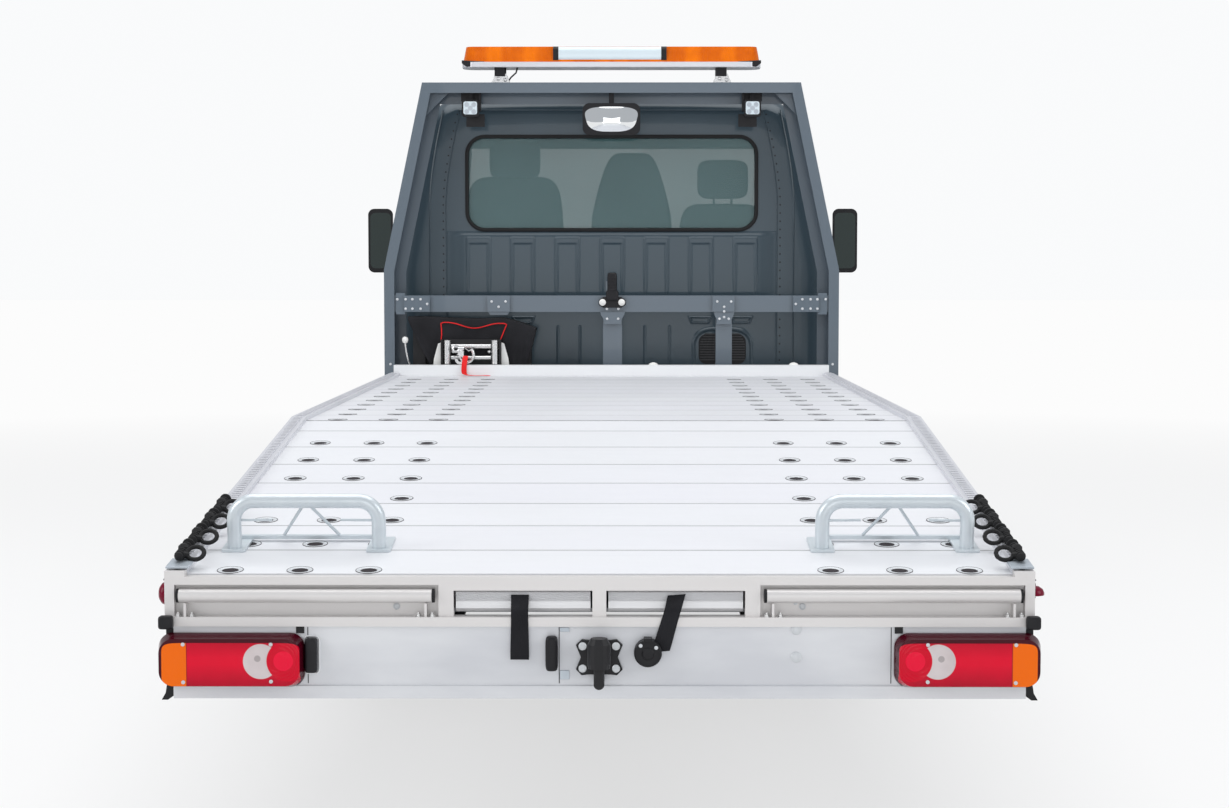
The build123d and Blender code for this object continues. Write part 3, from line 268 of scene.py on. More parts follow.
def on_slope(x, s, height=0.0):
    """Point on the sloping deck, s metres down from the knee and some height square to it."""
    x, s, height = np.broadcast_arrays(*(np.asarray(value, float) for value in (x, s, height)))
    return np.stack([x, knee_y - s * slope_cos - height * slope_sin,
                     deck_z - s * slope_sin + height * slope_cos], -1)


def rear_point(x, ahead, drop):
    """Point measured from the middle of the deck's rear edge."""
    return (x, rear_edge_y + ahead, rear_edge_z - drop)


FACE_REAR = ((1, 0, 0), (0, 0, -1), (0, 1, 0))
FACE_SIDE = ((0, 0, 1), (0, 1, 0), (-1, 0, 0))


# Shaders


class Signal:
    """A shader socket that adds, subtracts, multiplies and divides like a number."""

    def __init__(self, tree, socket):
        self.tree = tree
        self.socket = socket

    def node(self, kind, settings=None, inputs=None, out=0):
        """Any other node: its type, its settings, then the values or links of its sockets."""
        made = self.tree.nodes.new(kind)
        for key, value in (settings or {}).items():
            setattr(made, key, value)
        for key, value in (inputs or {}).items():
            if isinstance(value, Signal):
                self.tree.links.new(value.socket, made.inputs[key])
            else:
                made.inputs[key].default_value = value
        return Signal(self.tree, made.outputs[out])

    def maths(self, operation, *values):
        """Math node on the values given, or on this signal alone."""
        return self.node("ShaderNodeMath", {"operation": operation}, dict(enumerate(values or (self,))))

    def __add__(self, other):
        return self.maths("ADD", self, other)

    def __sub__(self, other):
        return self.maths("SUBTRACT", self, other)

    def __rsub__(self, other):
        return self.maths("SUBTRACT", other, self)

    def __mul__(self, other):
        return self.maths("MULTIPLY", self, other)

    def __truediv__(self, other):
        return self.maths("DIVIDE", self, other)

    __radd__ = __add__
    __rmul__ = __mul__

    def above(self, limit, soft=0.001):
        """Mask that rises from 0 to 1 about a limit."""
        return self.node("ShaderNodeMapRange", {"clamp": True},
                         {"Value": self, "From Min": limit - soft, "From Max": limit + soft})

    def mix(self, low, high):
        """Colour between two colours, this signal deciding."""
        return self.node("ShaderNodeMix", {"data_type": "RGBA"}, {0: self, 6: low, 7: high}, out=2)


class Finish:
    """A material with its principled shader and its object coordinates."""

    def __init__(self, name, colour, rough, metal=0.0, **constants):
        self.name = name
        self.material = bpy.data.materials.new(name + "_finish")
        self.material.use_nodes = True
        self.tree = self.material.node_tree
        self.shader = self.tree.nodes["Principled BSDF"]
        self.shader.inputs["Base Color"].default_value = (*colour, 1)
        self.shader.inputs["Roughness"].default_value = rough
        self.shader.inputs["Metallic"].default_value = metal
        for key, value in constants.items():
            self.shader.inputs[key.replace("_", " ")].default_value = value
        self.colour = (*colour, 1)
        start = self.tree.nodes.new("ShaderNodeTexCoord")
        self.place = Signal(self.tree, start.outputs["Object"])

    def axes(self, letters="XYZ"):
        """The object coordinates along the axes named."""
        split = self.tree.nodes.new("ShaderNodeSeparateXYZ")
        self.tree.links.new(self.place.socket, split.inputs[0])
        return [Signal(self.tree, split.outputs[letter]) for letter in letters]

    def stretched(self, scale):
        """Object coordinates multiplied along each axis."""
        return self.place.node("ShaderNodeMapping", {}, {"Vector": self.place, "Scale": scale})

    def noise(self, scale, detail=3.0, where=None):
        """Noise value between 0 and 1."""
        return self.place.node("ShaderNodeTexNoise", {},
                               {"Vector": where or self.place, "Scale": scale, "Detail": detail})

    def feed(self, socket, signal):
        """Links a signal to a socket of the shader."""
        self.tree.links.new(signal.socket, self.shader.inputs[socket])
        return self

    def bump(self, signal, strength, distance):
        """Height signal to the normal."""
        node = self.place.node("ShaderNodeBump", {},
                               {"Strength": strength, "Distance": distance, "Height": signal})
        return self.feed("Normal", node)


def worn(name, colour, rough, metal=0.0, grain=60.0, spread=0.16, dirt=None, depth=0.0004, stretch=(1, 1, 1),
         **more):
    """Finish with cloudy colour, uneven gloss and a fine bump; dirt is a second colour it drifts towards."""
    finish = Finish(name, colour, rough, metal, **more)
    cloud = finish.noise(2.3, 5.0)
    fine = finish.noise(grain, 4.0, finish.stretched(stretch))
    other = dirt or tuple(channel * 0.72 for channel in colour)
    amount = (cloud * 0.7 + fine * 0.3).above(0.56, 0.22)
    finish.feed("Base Color", (amount * (spread * 3)).mix(finish.colour, (*other, 1)))
    finish.feed("Roughness", rough + (fine - 0.5) * spread + (cloud - 0.5) * spread * 0.6)
    finish.bump(fine, 0.35, depth)
    return finish


def cloth(name, colour, threads=900.0, rough=0.92):
    """Woven finish: two crossed waves raise the threads, noise fades the colour."""
    finish = Finish(name, colour, rough, 0.0, Sheen_Weight=0.04, Specular_IOR_Level=0.2)
    x, y, z = finish.axes()
    across = ((x + z) * threads).maths("SINE")
    along = ((y - z) * threads).maths("SINE")
    weave = across * along
    fade = finish.noise(9.0, 4.0)
    finish.feed("Base Color",
                fade.above(0.52, 0.2).mix(finish.colour, (*(c * 1.6 + 0.003 for c in colour), 1)))
    finish.feed("Roughness", rough + weave * 0.03)
    return finish.bump(weave, 0.5, 0.0005)


def brushed(name, colour, rough, metal, lines=(2, 260, 260), spread=0.12, **more):
    """Rolled aluminium: noise drawn out along X gives fine lines in gloss and height."""
    finish = Finish(name, colour, rough, metal, **more)
    line = finish.noise(1.0, 4.0, finish.stretched(lines))
    cloud = finish.noise(1.7, 6.0)
    smear = (cloud - 0.5) * spread
    darker = tuple(channel * 0.86 for channel in colour)
    finish.feed("Base Color", (cloud.above(0.56, 0.16) * 0.6).mix(finish.colour, (*darker, 1)))
    finish.feed("Roughness", rough + (line - 0.5) * 0.16 + smear)
    return finish.bump(line, 0.25, 0.0003)


FINISHES = {}


def lamp_lens():
    """Tail lens: maroon border, amber outer end, red field, pale crescent beside a bright red round field."""
    finish = Finish("tail_lens", (0.62, 0.0, 0.012), 0.12, 0.0, Coat_Weight=0.05, Specular_IOR_Level=0.18)
    x, z = finish.axes("XZ")
    out = x.maths("ABSOLUTE")
    lamp_outer, lamp_top, lamp_low = 1.081, 0.136, 0.27
    face_outer, face_inner, face_top, face_low = 1.0705, 0.725, 0.15, 0.2685
    from_outer = lamp_outer - out
    drop = rear_edge_z - z
    middle = (lamp_top + lamp_low) / 2 - 0.004

    def disc(centre, centre_drop, radius):
        """Round mask about a place on the lens."""
        dx = from_outer - centre
        dz = drop - centre_drop
        square = dx * dx + dz * dz
        return (radius - square.maths("SQRT")).above(0.0, 0.0007)

    def inside(margin):
        """Rounded field a margin in from the lamp's edges: 1 inside, from a fourth-power distance."""
        half_x = (face_outer - face_inner) / 2 - margin
        half_z = (face_low - face_top) / 2 - margin
        dx = (out - (face_outer + face_inner) / 2) / half_x
        dz = (drop - (face_top + face_low) / 2) / half_z
        dx = dx * dx
        dz = dz * dz
        dx4 = dx * dx
        return (1.0 - (dx4 * dx4 * dx4 + dz * dz * dz * dz)).above(0.0, 0.03)

    field = inside(0.0045)
    amber = (0.0755 - from_outer).above(0.0, 0.0006)
    divider = 1.0 - (from_outer - 0.0765).maths("ABSOLUTE").above(0.0012, 0.0006)
    reverse = disc(0.257, middle + 0.001, 0.043)
    fog = disc(0.321, middle, 0.05)
    crescent = reverse * (1 - fog)
    shade = finish.noise(16.0, 2.0)
    # glow: a painted highlight, a brighter crimson band across the lens's middle row standing in for light on
    # the lens.
    glow = (1.0 - (drop - middle).maths("ABSOLUTE") * 18.0).above(0.35, 0.5) * 0.7
    red = shade.mix((0.3, 0.0, 0.012, 1), (0.52, 0.0, 0.022, 1))
    red = glow.mix(red, (0.86, 0.002, 0.03, 1))
    red = fog.mix(red, (0.62, 0.0, 0.02, 1))
    fog_centre = disc(0.312, middle, 0.024)
    red = (fog_centre * 0.6).mix(red, (0.95, 0.006, 0.05, 1))
    colour = amber.mix(red, (0.88, 0.145, 0.0, 1))
    bulb = disc(0.249, middle - 0.006, 0.008)
    pale = shade.mix((0.5, 0.42, 0.42, 1), (0.72, 0.66, 0.66, 1))
    pale = (bulb * 0.6).mix(pale, (0.25, 0.22, 0.22, 1))
    colour = crescent.mix(colour, pale)
    colour = (divider * 0.6).mix(colour, (0.2, 0.004, 0.004, 1))
    colour = field.mix((0.055, 0.0015, 0.008, 1), colour)
    marker = (0.118 - drop).above(0.0, 0.002)
    colour = marker.mix(colour, (0.075, 0.002, 0.012, 1))
    finish.feed("Base Color", colour)
    finish.feed("Roughness", 0.1 + crescent * 0.2 + shade * 0.06)
    prism = (out * 1300.0).maths("SINE") * (z * 1300.0).maths("SINE")
    ring = (from_outer - 0.3) * (from_outer - 0.3) + (drop - middle) * (drop - middle)
    ripples = (ring * 9000.0).maths("SINE") * fog
    return finish.bump(prism * (1 - fog) * 0.5 + ripples, 0.35, 0.0006)


def glazing(name, tint, alpha):
    """Tinted pane: the clear part is the alpha, with a faint uneven film."""
    finish = Finish(name, tint, 0.03, 0.0, Specular_IOR_Level=0.35)
    film = finish.noise(3.0, 5.0)
    finish.feed("Alpha", alpha + (film - 0.5) * 0.1)
    finish.feed("Roughness", 0.02 + film * 0.03)
    return finish


# Settings


def colour_setting(name, about, default):
    """A colour in the settings."""
    return FloatVectorProperty(name=name, description=about, size=3, subtype="COLOR", default=default)


def angle_setting(name, about, default):
    """An angle in the settings."""
    return FloatProperty(name=name, description=about, subtype="ANGLE", default=default)


def length_setting(name, about, default):
    """A length in the settings."""
    return FloatProperty(name=name, description=about, unit="LENGTH", default=default)


class TransporterSettings(bpy.types.PropertyGroup):
    """Sizes and colours that a user would change."""

    lens: FloatProperty(name="Lens", description="Focal length on a 36 mm sensor", default=60.49,
                        unit="CAMERA")
    eye: FloatVectorProperty(name="Eye", description="Place of the camera",
                             default=(0.0591, -8.8192, 1.4725),
                             size=3, subtype="TRANSLATION")
    pitch: angle_setting("Pitch", "How far the camera looks down", math.radians(3.731))
    yaw: angle_setting("Yaw", "How far the camera turns left", math.radians(0.25))
    roll: angle_setting("Roll", "How far the camera leans", 0.0)
    daylight: FloatProperty(name="Daylight", description="Strength of the studio light", default=1.0,
                            min=0.1, max=3)
    paint: colour_setting("Paint", "Cab and headboard paint", (0.036, 0.058, 0.075))
    deck: colour_setting("Deck", "Deck plank aluminium", (0.74, 0.75, 0.77))
    strap: colour_setting("Strap", "Ramp strap webbing", (0.01, 0.01, 0.012))
    cover: colour_setting("Cover", "Winch cover cloth", (0.006, 0.006, 0.008))
    piping: colour_setting("Piping", "Edge piping and hook strap", (0.55, 0.012, 0.012))
    rim: length_setting("Hole rim", "Outer radius of a lashing hole's rim", 0.0325)
    strap_width: length_setting("Strap width", "Width of the ramp webbing", 0.044)
    tread: length_setting("Tread depth", "Depth of the tyre blocks", 0.007)


def settings_of(context):
    """The scene's transporter settings."""
    return context.scene.transporter


# Operators


class TransporterStage(bpy.types.Operator):
    """Camera, pale floor and backdrop, soft light from above and both sides."""

    bl_idname = "transporter.stage"
    bl_label = "Stage"

    def execute(self, context):
        from mathutils import Matrix, Vector

        s = settings_of(context)
        data = bpy.data.cameras.new("camera")
        data.lens = s.lens
        data.sensor_width = 36
        data.sensor_fit = "HORIZONTAL"
        camera = bpy.data.objects.new("camera", data)
        context.scene.collection.objects.link(camera)
        ahead = Vector((-math.sin(s.yaw) * math.cos(s.pitch), math.cos(s.yaw) * math.cos(s.pitch),
                        -math.sin(s.pitch)))
        turn = ahead.to_track_quat("-Z", "Y").to_matrix() @ Matrix.Rotation(s.roll, 3, "Z")
        camera.matrix_world = Matrix.Translation(s.eye) @ turn.to_4x4()
        context.scene.camera = camera

        floor = bpy.data.meshes.new("floor")
        floor.from_pydata([(-60, -40, 0), (60, -40, 0), (60, 90, 0), (-60, 90, 0)], [], [(0, 1, 2, 3)])
        floor_piece = bpy.data.objects.new("floor", floor)
        context.scene.collection.objects.link(floor_piece)
        floor.materials.append(self.floor_material())

        world = bpy.data.worlds.new("studio")
        world.use_nodes = True
        context.scene.world = world
        tree = world.node_tree
        seen = self.seen(tree, "Is Transmission Ray")
        back = tree.nodes["Background"]
        tree.links.new(seen.mix((0.6, 0.62, 0.65, 1), (1.12, 1.13, 1.14, 1)).socket, back.inputs["Color"])
        back.inputs["Strength"].default_value = 0.85 * s.daylight
        for name, place, size, power in (
            ("sky_light", (0.0, -0.5, 9.0), 9.0, 600.0),
            ("left_light", (-8.0, -6.0, 4.5), 5.0, 300.0),
            ("right_light", (8.0, -6.0, 4.5), 5.0, 260.0),
            ("rear_light", (0.0, -12.5, 1.6), 4.0, 85.0),
        ):
            light = bpy.data.lights.new(name, "AREA")
            light.size = size
            light.energy = power * s.daylight
            lamp = bpy.data.objects.new(name, light)
            lamp.location = place
            aim = Vector((0, -1.0, 0.9)) - Vector(place)
            lamp.rotation_euler = aim.to_track_quat("-Z", "Y").to_euler()
            context.scene.collection.objects.link(lamp)
        context.scene.view_settings.view_transform = "Standard"
        return {"FINISHED"}

    def seen(self, tree, other):
        """1 for the camera's own rays and for one other kind."""
        path = tree.nodes.new("ShaderNodeLightPath")
        rays = [Signal(tree, path.outputs[kind]) for kind in ("Is Camera Ray", other)]
        return rays[0].maths("MAXIMUM", *rays)

    def floor_material(self):
        """Pale floor: the camera sees it near white, and it keeps the shadow of the vehicle."""
        material = bpy.data.materials.new("floor")
        material.use_nodes = True
        tree = material.node_tree
        shader = tree.nodes["Principled BSDF"]
        shader.inputs["Base Color"].default_value = (0.78, 0.78, 0.78, 1)
        shader.inputs["Roughness"].default_value = 0.9
        glow = tree.nodes.new("ShaderNodeEmission")
        glow.inputs["Color"].default_value = (0.985, 0.985, 0.985, 1)
        glow.inputs["Strength"].default_value = 1.0
        seen = self.seen(tree, "Is Glossy Ray")
        blend = tree.nodes.new("ShaderNodeMixShader")
        start = tree.nodes.new("ShaderNodeTexCoord")
        place = Signal(tree, start.outputs["Object"])
        far = place.node("ShaderNodeVectorMath", {"operation": "LENGTH"}, {0: place}, out=1)
        fade = far.above(7.5, 5.5)
        tree.links.new((seen * (0.6 + fade * 0.38)).socket, blend.inputs[0])
        tree.links.new(shader.outputs[0], blend.inputs[1])
        tree.links.new(glow.outputs[0], blend.inputs[2])
        tree.links.new(blend.outputs[0], tree.nodes["Material Output"].inputs["Surface"])
        return material


class TransporterFinishes(bpy.types.Operator):
    """Every finish, and the one that each solid takes."""

    bl_idname = "transporter.finishes"
    bl_label = "Finishes"

    def execute(self, context):
        s = settings_of(context)
        paint = tuple(s.paint)
        deck = tuple(s.deck)
        made = (
            worn("paint", paint, 0.32, 0.1, grain=260, spread=0.05, depth=0.00008, Coat_Weight=0.3,
                 Coat_Roughness=0.1, Specular_IOR_Level=0.35, dirt=tuple(c * 1.5 + 0.01 for c in paint)),
            # frame paint: the cab paint made lighter, partly the headboard's own lighter tone and partly
            # painted light for the stronger light it gets
            worn("frame_paint", (paint[0] * 2.7, paint[1] * 2.15, paint[2] * 2.05), 0.36, 0.05, grain=260,
                 spread=0.06, depth=0.0001, Coat_Weight=0.3, dirt=tuple(c * 2.3 + 0.01 for c in paint)),
            self.planks(deck),
            brushed("beam_metal", (0.42, 0.43, 0.45), 0.42, 0.6),
            brushed("rail_metal", (0.66, 0.665, 0.7), 0.32, 0.35, lines=(60, 3, 60)),
            worn("edge_metal", (0.7, 0.68, 0.67), 0.4, 0.3, grain=14, spread=0.07, stretch=(0.5, 5, 5),
                 depth=0.0002, dirt=(0.6, 0.575, 0.57)),
            worn("bright_edge", (0.8, 0.81, 0.82), 0.34, 0.35, grain=16, spread=0.08, stretch=(0.4, 5, 5),
                 depth=0.0002, dirt=(0.7, 0.71, 0.72)),
            worn("zinc", (0.62, 0.64, 0.66), 0.48, 0.3, grain=60, spread=0.15),
            worn("hoop_zinc", (0.66, 0.71, 0.74), 0.33, 0.35, grain=34, spread=0.2,
                 dirt=(0.46, 0.52, 0.56)),
            self.board(),
            worn("galvanised", (0.5, 0.55, 0.6), 0.42, 0.65, grain=42, spread=0.26, dirt=(0.3, 0.34, 0.38)),
            worn("bright_steel", (0.68, 0.68, 0.68), 0.26, 0.9, grain=120, spread=0.12),
            worn("black_plastic", (0.008, 0.008, 0.01), 0.46, grain=520, spread=0.12, depth=0.0003,
                 dirt=(0.02, 0.02, 0.022), Specular_IOR_Level=0.28),
            worn("rubber", (0.01, 0.01, 0.011), 0.66, grain=300, spread=0.14, dirt=(0.026, 0.025, 0.025),
                 Specular_IOR_Level=0.25),
            worn("black_frame", (0.01, 0.01, 0.012), 0.48, grain=90, spread=0.16,
                 dirt=(0.026, 0.025, 0.025), Specular_IOR_Level=0.3),
            # near black finish for the painted shade in and round the lashing holes
            worn("painted_hole_shadow", (0.045, 0.04, 0.044), 0.8, grain=90, spread=0.2, Specular_IOR_Level=0.1),
            worn("clear_lens", (0.62, 0.71, 0.76), 0.2, grain=240, spread=0.08, depth=0.0004,
                 Coat_Weight=0.3),
            worn("interior", (0.03, 0.031, 0.034), 0.7, grain=420, spread=0.12, dirt=(0.06, 0.06, 0.06)),
            worn("cast_metal", (0.2, 0.2, 0.21), 0.55, 0.7, grain=70, spread=0.25),
            worn("wheel_steel", (0.42, 0.43, 0.45), 0.35, 0.7, grain=140, spread=0.14),
            self.amber(),
            worn("maroon_lens", (0.16, 0.0, 0.018), 0.2, grain=150, spread=0.08, Specular_IOR_Level=0.2),
            worn("pale_lens", (0.62, 0.62, 0.58), 0.2, grain=240, spread=0.1, depth=0.0006,
                 Coat_Weight=0.5),
            self.ramp_ends(),
            worn("white_housing", (0.78, 0.78, 0.76), 0.35, grain=160, spread=0.08),
            worn("mirror_glass", (0.82, 0.84, 0.85), 0.03, 1.0, grain=4, spread=0.03, depth=0.00005),
            worn("dark_glass", (0.03, 0.045, 0.04), 0.05, 0.6, grain=4, spread=0.04, depth=0.00005,
                 Coat_Weight=0.8),
            glazing("glass", (0.095, 0.18, 0.186), 0.46),
            lamp_lens(),
            cloth("seat_cloth", (0.045, 0.05, 0.055), 700),
            cloth("cover_cloth", tuple(s.cover), 1400, 0.62),
            cloth("webbing", tuple(s.strap), 1100),
            cloth("red_webbing", tuple(s.piping), 1300, 0.7),
        )
        for finish in made:
            FINISHES[finish.name] = finish
        for name, nodes in NODE_FINISHES.items():
            for node in nodes.split():
                for part in (node,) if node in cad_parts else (node + "_left", node + "_right"):
                    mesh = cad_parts[part].data
                    mesh.materials.clear()
                    mesh.materials.append(FINISHES[name].material)
        return {"FINISHED"}

    def planks(self, colour):
        """Deck boards: near white aluminium, fine ribs across, grey joints, dust and a few scuffs."""
        finish = Finish("deck_metal", colour, 0.42, 0.25)
        (y,) = finish.axes("Y")
        line = finish.noise(1.0, 4.0, finish.stretched((1.5, 300, 300)))
        cloud = finish.noise(1.3, 6.0)
        smudge = finish.noise(6.0, 5.0, finish.stretched((0.4, 1.4, 1)))
        down = (knee_y - y) / slope_cos
        level = (y - knee_y).above(0.0, 0.001)
        along = level * ((y - knee_y - 0.003) / plank_pitch) + (1 - level) * (
            (down - slope_length % plank_pitch) / plank_pitch + 40.0)
        step = along.maths("FRACT")
        edge = (step - 0.5).maths("ABSOLUTE")
        joint = edge.above(0.488, 0.004)
        shadow = edge.above(0.455, 0.05)
        groove = 1.0 - (edge - 0.3).maths("ABSOLUTE").above(0.006, 0.003)
        board = along.maths("FLOOR")
        tone = finish.place.node("ShaderNodeTexWhiteNoise", {"noise_dimensions": "1D"}, {"W": board})
        rib = (y * 520.0).maths("SINE")
        dirty = (cloud * 0.5 + smudge * 0.5).above(0.56, 0.14)
        grey = tuple(c * 0.84 for c in colour) + (1,)
        lilac = (colour[0] * 0.95, colour[1] * 0.935, colour[2] * 0.97, 1)
        shade = (tone * 0.5 + dirty * 0.4).mix(finish.colour, lilac)
        shade = (dirty * 0.35 + groove * 0.25 + shadow * 0.12).mix(shade, grey)
        shade = joint.mix(shade, tuple(c * 0.38 for c in colour) + (1,))
        finish.feed("Base Color", shade)
        finish.feed("Roughness", 0.38 + line * 0.12 + dirty * 0.12 + joint * 0.2)
        return finish.bump(rib * 0.5 + line * 0.3 - joint * 2.0, 0.22, 0.0006)

    def amber(self):
        """Amber lens: fine upright prisms over darker and lighter cells."""
        finish = Finish("amber_lens", (0.8, 0.1, 0.002), 0.14, 0.0, Coat_Weight=0.05,
                        Specular_IOR_Level=0.15)
        (x,) = finish.axes("X")
        out = x.maths("ABSOLUTE")
        prism = (x * 620.0).maths("SINE")
        cell = (out * 36.0).maths("SINE").above(0.35, 0.4)
        cloud = finish.noise(24.0, 3.0)
        finish.feed("Base Color", (cell * 0.3 + cloud * 0.5).mix((0.5, 0.075, 0.0, 1), (0.9, 0.21, 0.0, 1)))
        finish.feed("Roughness", 0.12 + cloud * 0.1)
        return finish.bump(prism, 0.4, 0.0008)

    def ramp_ends(self):
        """Ramps: fine ribs across the upper part, painted greyer there with stripes darkest in the rib
        troughs as painted shade; bright and smooth below.
        """
        finish = Finish("ramp_metal", (0.74, 0.74, 0.75), 0.34, 0.35)
        (z,) = finish.axes("Z")
        low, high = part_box("ramp_left")
        rib = (z * 900.0).maths("SINE")
        upper = z.above(low.z + 0.45 * (high.z - low.z), 0.012)
        line = finish.noise(1.0, 3.0, finish.stretched((3, 300, 300)))
        # Colour: the ribbed upper part greyer, its stripes darkest in the rib troughs as painted shade.
        finish.feed("Base Color",
                    (upper * (0.45 - rib * 0.4) + line * 0.12).mix(finish.colour, (0.2, 0.2, 0.22, 1)))
        finish.feed("Roughness", 0.3 + line * 0.12)
        return finish.bump(rib * upper, 0.3, 0.0008)

    def board(self):
        """Bumper board: bright satin sheet with faint smudges."""
        finish = Finish("board_metal", (0.7, 0.71, 0.73), 0.4, 0.3)
        smudge = finish.noise(3.0, 6.0, finish.stretched((0.8, 1, 2.5)))
        line = finish.noise(1.0, 3.0, finish.stretched((3, 300, 300)))
        finish.feed("Base Color", smudge.above(0.55, 0.14).mix(finish.colour, (0.6, 0.61, 0.64, 1)))
        finish.feed("Roughness", 0.34 + smudge * 0.14 + line * 0.06)
        return finish.bump(line, 0.12, 0.0003)


NODE_FINISHES = {
    "black_frame": "chassis_frame lashing_rings tow_coupling winch fairlead_frame front_axle rear_axle",
    "beam_metal": "deck_beams deck_bearers",
    "deck_metal": "deck_planks_level deck_planks_slope",
    "rail_metal": "side_rails light_bar_base",
    "hoop_zinc": "wheel_stops",
    "edge_metal": "rear_crossmember",
    "board_metal": "bumper_board",
    "tail_lens": "rear_lamps",
    "rubber": "rear_fittings tyre_front tyre_rear",
    "ramp_metal": "ramp",
    "webbing": "ramp_strap",
    "frame_paint": "headboard_frame headboard_bars",
    "bright_edge": "winch_platform",
    "bright_steel": "fairlead_rollers winch_hook",
    "cover_cloth": "winch_cover",
    "amber_lens": "light_bar_lens",
    "black_plastic": "work_lights rear_view_mirror front_bumper front_grille door_mirror fuel_tank mudguards",
    "paint": "cab_shell bonnet door",
    "glass": "cab_glass door_glass",
    "pale_lens": "headlamps",
    "interior": "dashboard",
    "seat_cloth": "seats",
    "wheel_steel": "rim_front rim_rear",
    "cast_metal": "knuckle leaf_springs engine exhaust",
}


class TransporterDeck(bpy.types.Operator):
    """Lashing hole rims with painted shade in and round them (dark cups, dark rim rings), strips of the side
    rails with black tubes as painted shade in their grooves, hoops, domes, ring stems.
    """

    bl_idname = "transporter.deck"
    bl_label = "Deck details"

    def execute(self, context):
        s = settings_of(context)
        rim = [(0.0215, -0.004), (s.rim, -0.0004), (s.rim - 0.001, 0.001), (0.0236, 0.0009),
               (0.0212, -0.0006)]
        ring = Form().grid(turned_profile(rim, 20), close_u=True, close_v=True)
        # The near black cup closing each hole and the thin ring round each rim are painted shade: the shade
        # down the hole and along the rim's outer side.
        shadow_form = lathe([(0.0208, -0.0008), (0.0206, -0.01), (0.002, -0.0105)], 20)
        line = [(s.rim - 0.0008, -0.0002), (s.rim + 0.0007, -0.0002), (s.rim + 0.0004, 0.0013),
                (s.rim - 0.0005, 0.0013)]
        shadow_form.grid(turned_profile(line, 20), close_u=True, close_v=True)
        places = []
        for index in range(int(2.937 / plank_pitch)):
            y = level_low.y + 0.003 + index * plank_pitch + 0.036
            places += [(side * x, y, deck_z) for x in hole_columns for side in (-1, 1)]
        level = Form().copies(ring, places)
        turn = np.array([(1, 0, 0), (0, slope_cos, -slope_sin), (0, slope_sin, slope_cos)])
        knee_plank = slope_length % plank_pitch
        tilted = ring.turned(turn)
        slope_places = []
        for index in range(int(slope_length / plank_pitch)):
            down = knee_plank + (index + 1) * plank_pitch - 0.062
            slope_places += [on_slope(side * x, down) for x in hole_columns for side in (-1, 1)]
        level.copies(tilted, slope_places)
        level.build("hole_rims", "zinc")
        shadow_pieces = Form().copies(shadow_form, places)
        shadow_pieces.copies(shadow_form.turned(turn), slope_places)
        shadow_pieces.build("hole_shadow_cups", "painted_hole_shadow")

        inner, outer = half_deck - 0.05, half_deck
        teeth = Form()
        pitch = 0.024
        tooth = bar((-0.013, -0.007, -0.001), (0.013, 0.007, 0.0035))
        tilted_tooth = tooth.turned(turn)
        for side in (-1, 1):
            x = side * (inner + 0.026)
            level_steps = np.arange(knee_y + 0.02, deck_front_y - 0.01, pitch)
            rows = np.column_stack([np.full(len(level_steps), x), level_steps,
                                    np.full(len(level_steps), deck_z + 0.014)])
            teeth.copies(tooth, rows)
            down = np.arange(0.02, slope_length - 0.04, pitch)
            teeth.copies(tilted_tooth, on_slope(x, down, 0.014))
        teeth.build("rail_teeth", "rail_metal", smooth=False)

        # Black tubes along each rail's outer face are painted shade in the aluminium's grooves, not a part of
        # their own.
        groove = Form()
        for side in (-1, 1):
            for drop in (0.022, 0.046, 0.066):
                path = np.array([
                    (side * (outer + 0.0008), deck_front_y, deck_z + 0.014 - drop),
                    (side * (outer + 0.0008), knee_y, deck_z + 0.014 - drop),
                    on_slope(side * (outer + 0.0008), slope_length - 0.002, 0.014 - drop)])
                groove.copies(tube(path, 0.0022, 6))
        groove.build("rail_groove_shadows", "black_frame", slot="rail_aluminium")

        self.rings(turn)
        self.hoops(turn)
        return {"FINISHED"}

    def hoops(self, turn):
        """Bent tube on two foot plates: quarter circles between straight runs, brace, struts and handles."""
        half, top, corner, radius = 0.186, 0.129, 0.052, 0.0185
        a = np.linspace(0, np.pi / 2, 12)
        left = np.column_stack([-half + corner - corner * np.cos(a), 0 * a,
                                top - corner + corner * np.sin(a)])
        path = np.concatenate([[(-half, 0, 0.006)], left, left[::-1] * (-1, 1, 1), [(half, 0, 0.006)]])
        hoop = tube(path, radius, 20)
        for side in (-1, 1):
            x = side * half
            foot = rounded_outline(0.062, 0.138, 0.006, 4)
            low = np.column_stack([foot[:, 0] + x, foot[:, 1] + 0.04, np.zeros(len(foot))])
            hoop.grid(np.stack([low, low + (0, 0, 0.007)]), close_v=True, caps=True)
            hoop.copies(tube([(side * 0.004, 0, top - 0.006), (side * 0.072, 0.086, 0.018)], 0.0042, 8))
            hoop.copies(tube([(side * 0.088, 0.000, 0.079), (x, 0.000, 0.078)], 0.0036, 8))
        hoop.copies(bar((-half, 0.084, 0.006), (half, 0.098, 0.0165)))
        tilted = hoop.turned(turn)
        places = on_slope(0.756 * np.array([-1.0, 1.0]), slope_length - 0.262)
        piece = Form().copies(tilted, places).build("hoop_tubes", "hoop_zinc", bevel=0.0008)
        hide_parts("wheel_stops")
        dome = lathe([(0.029, -0.002), (0.029, 0.004), (0.0255, 0.012), (0.016, 0.0185), (0.003, 0.0205)],
                     24)
        domes = Form().copies(dome.turned(((0, 0, -1), (0, 1, 0), (1, 0, 0))),
                              rear_point(-half_deck, 0.034, 0.046))
        domes.copies(dome, rear_point(half_deck, 0.034, 0.046))
        domes.build("side_domes", "maroon_lens")

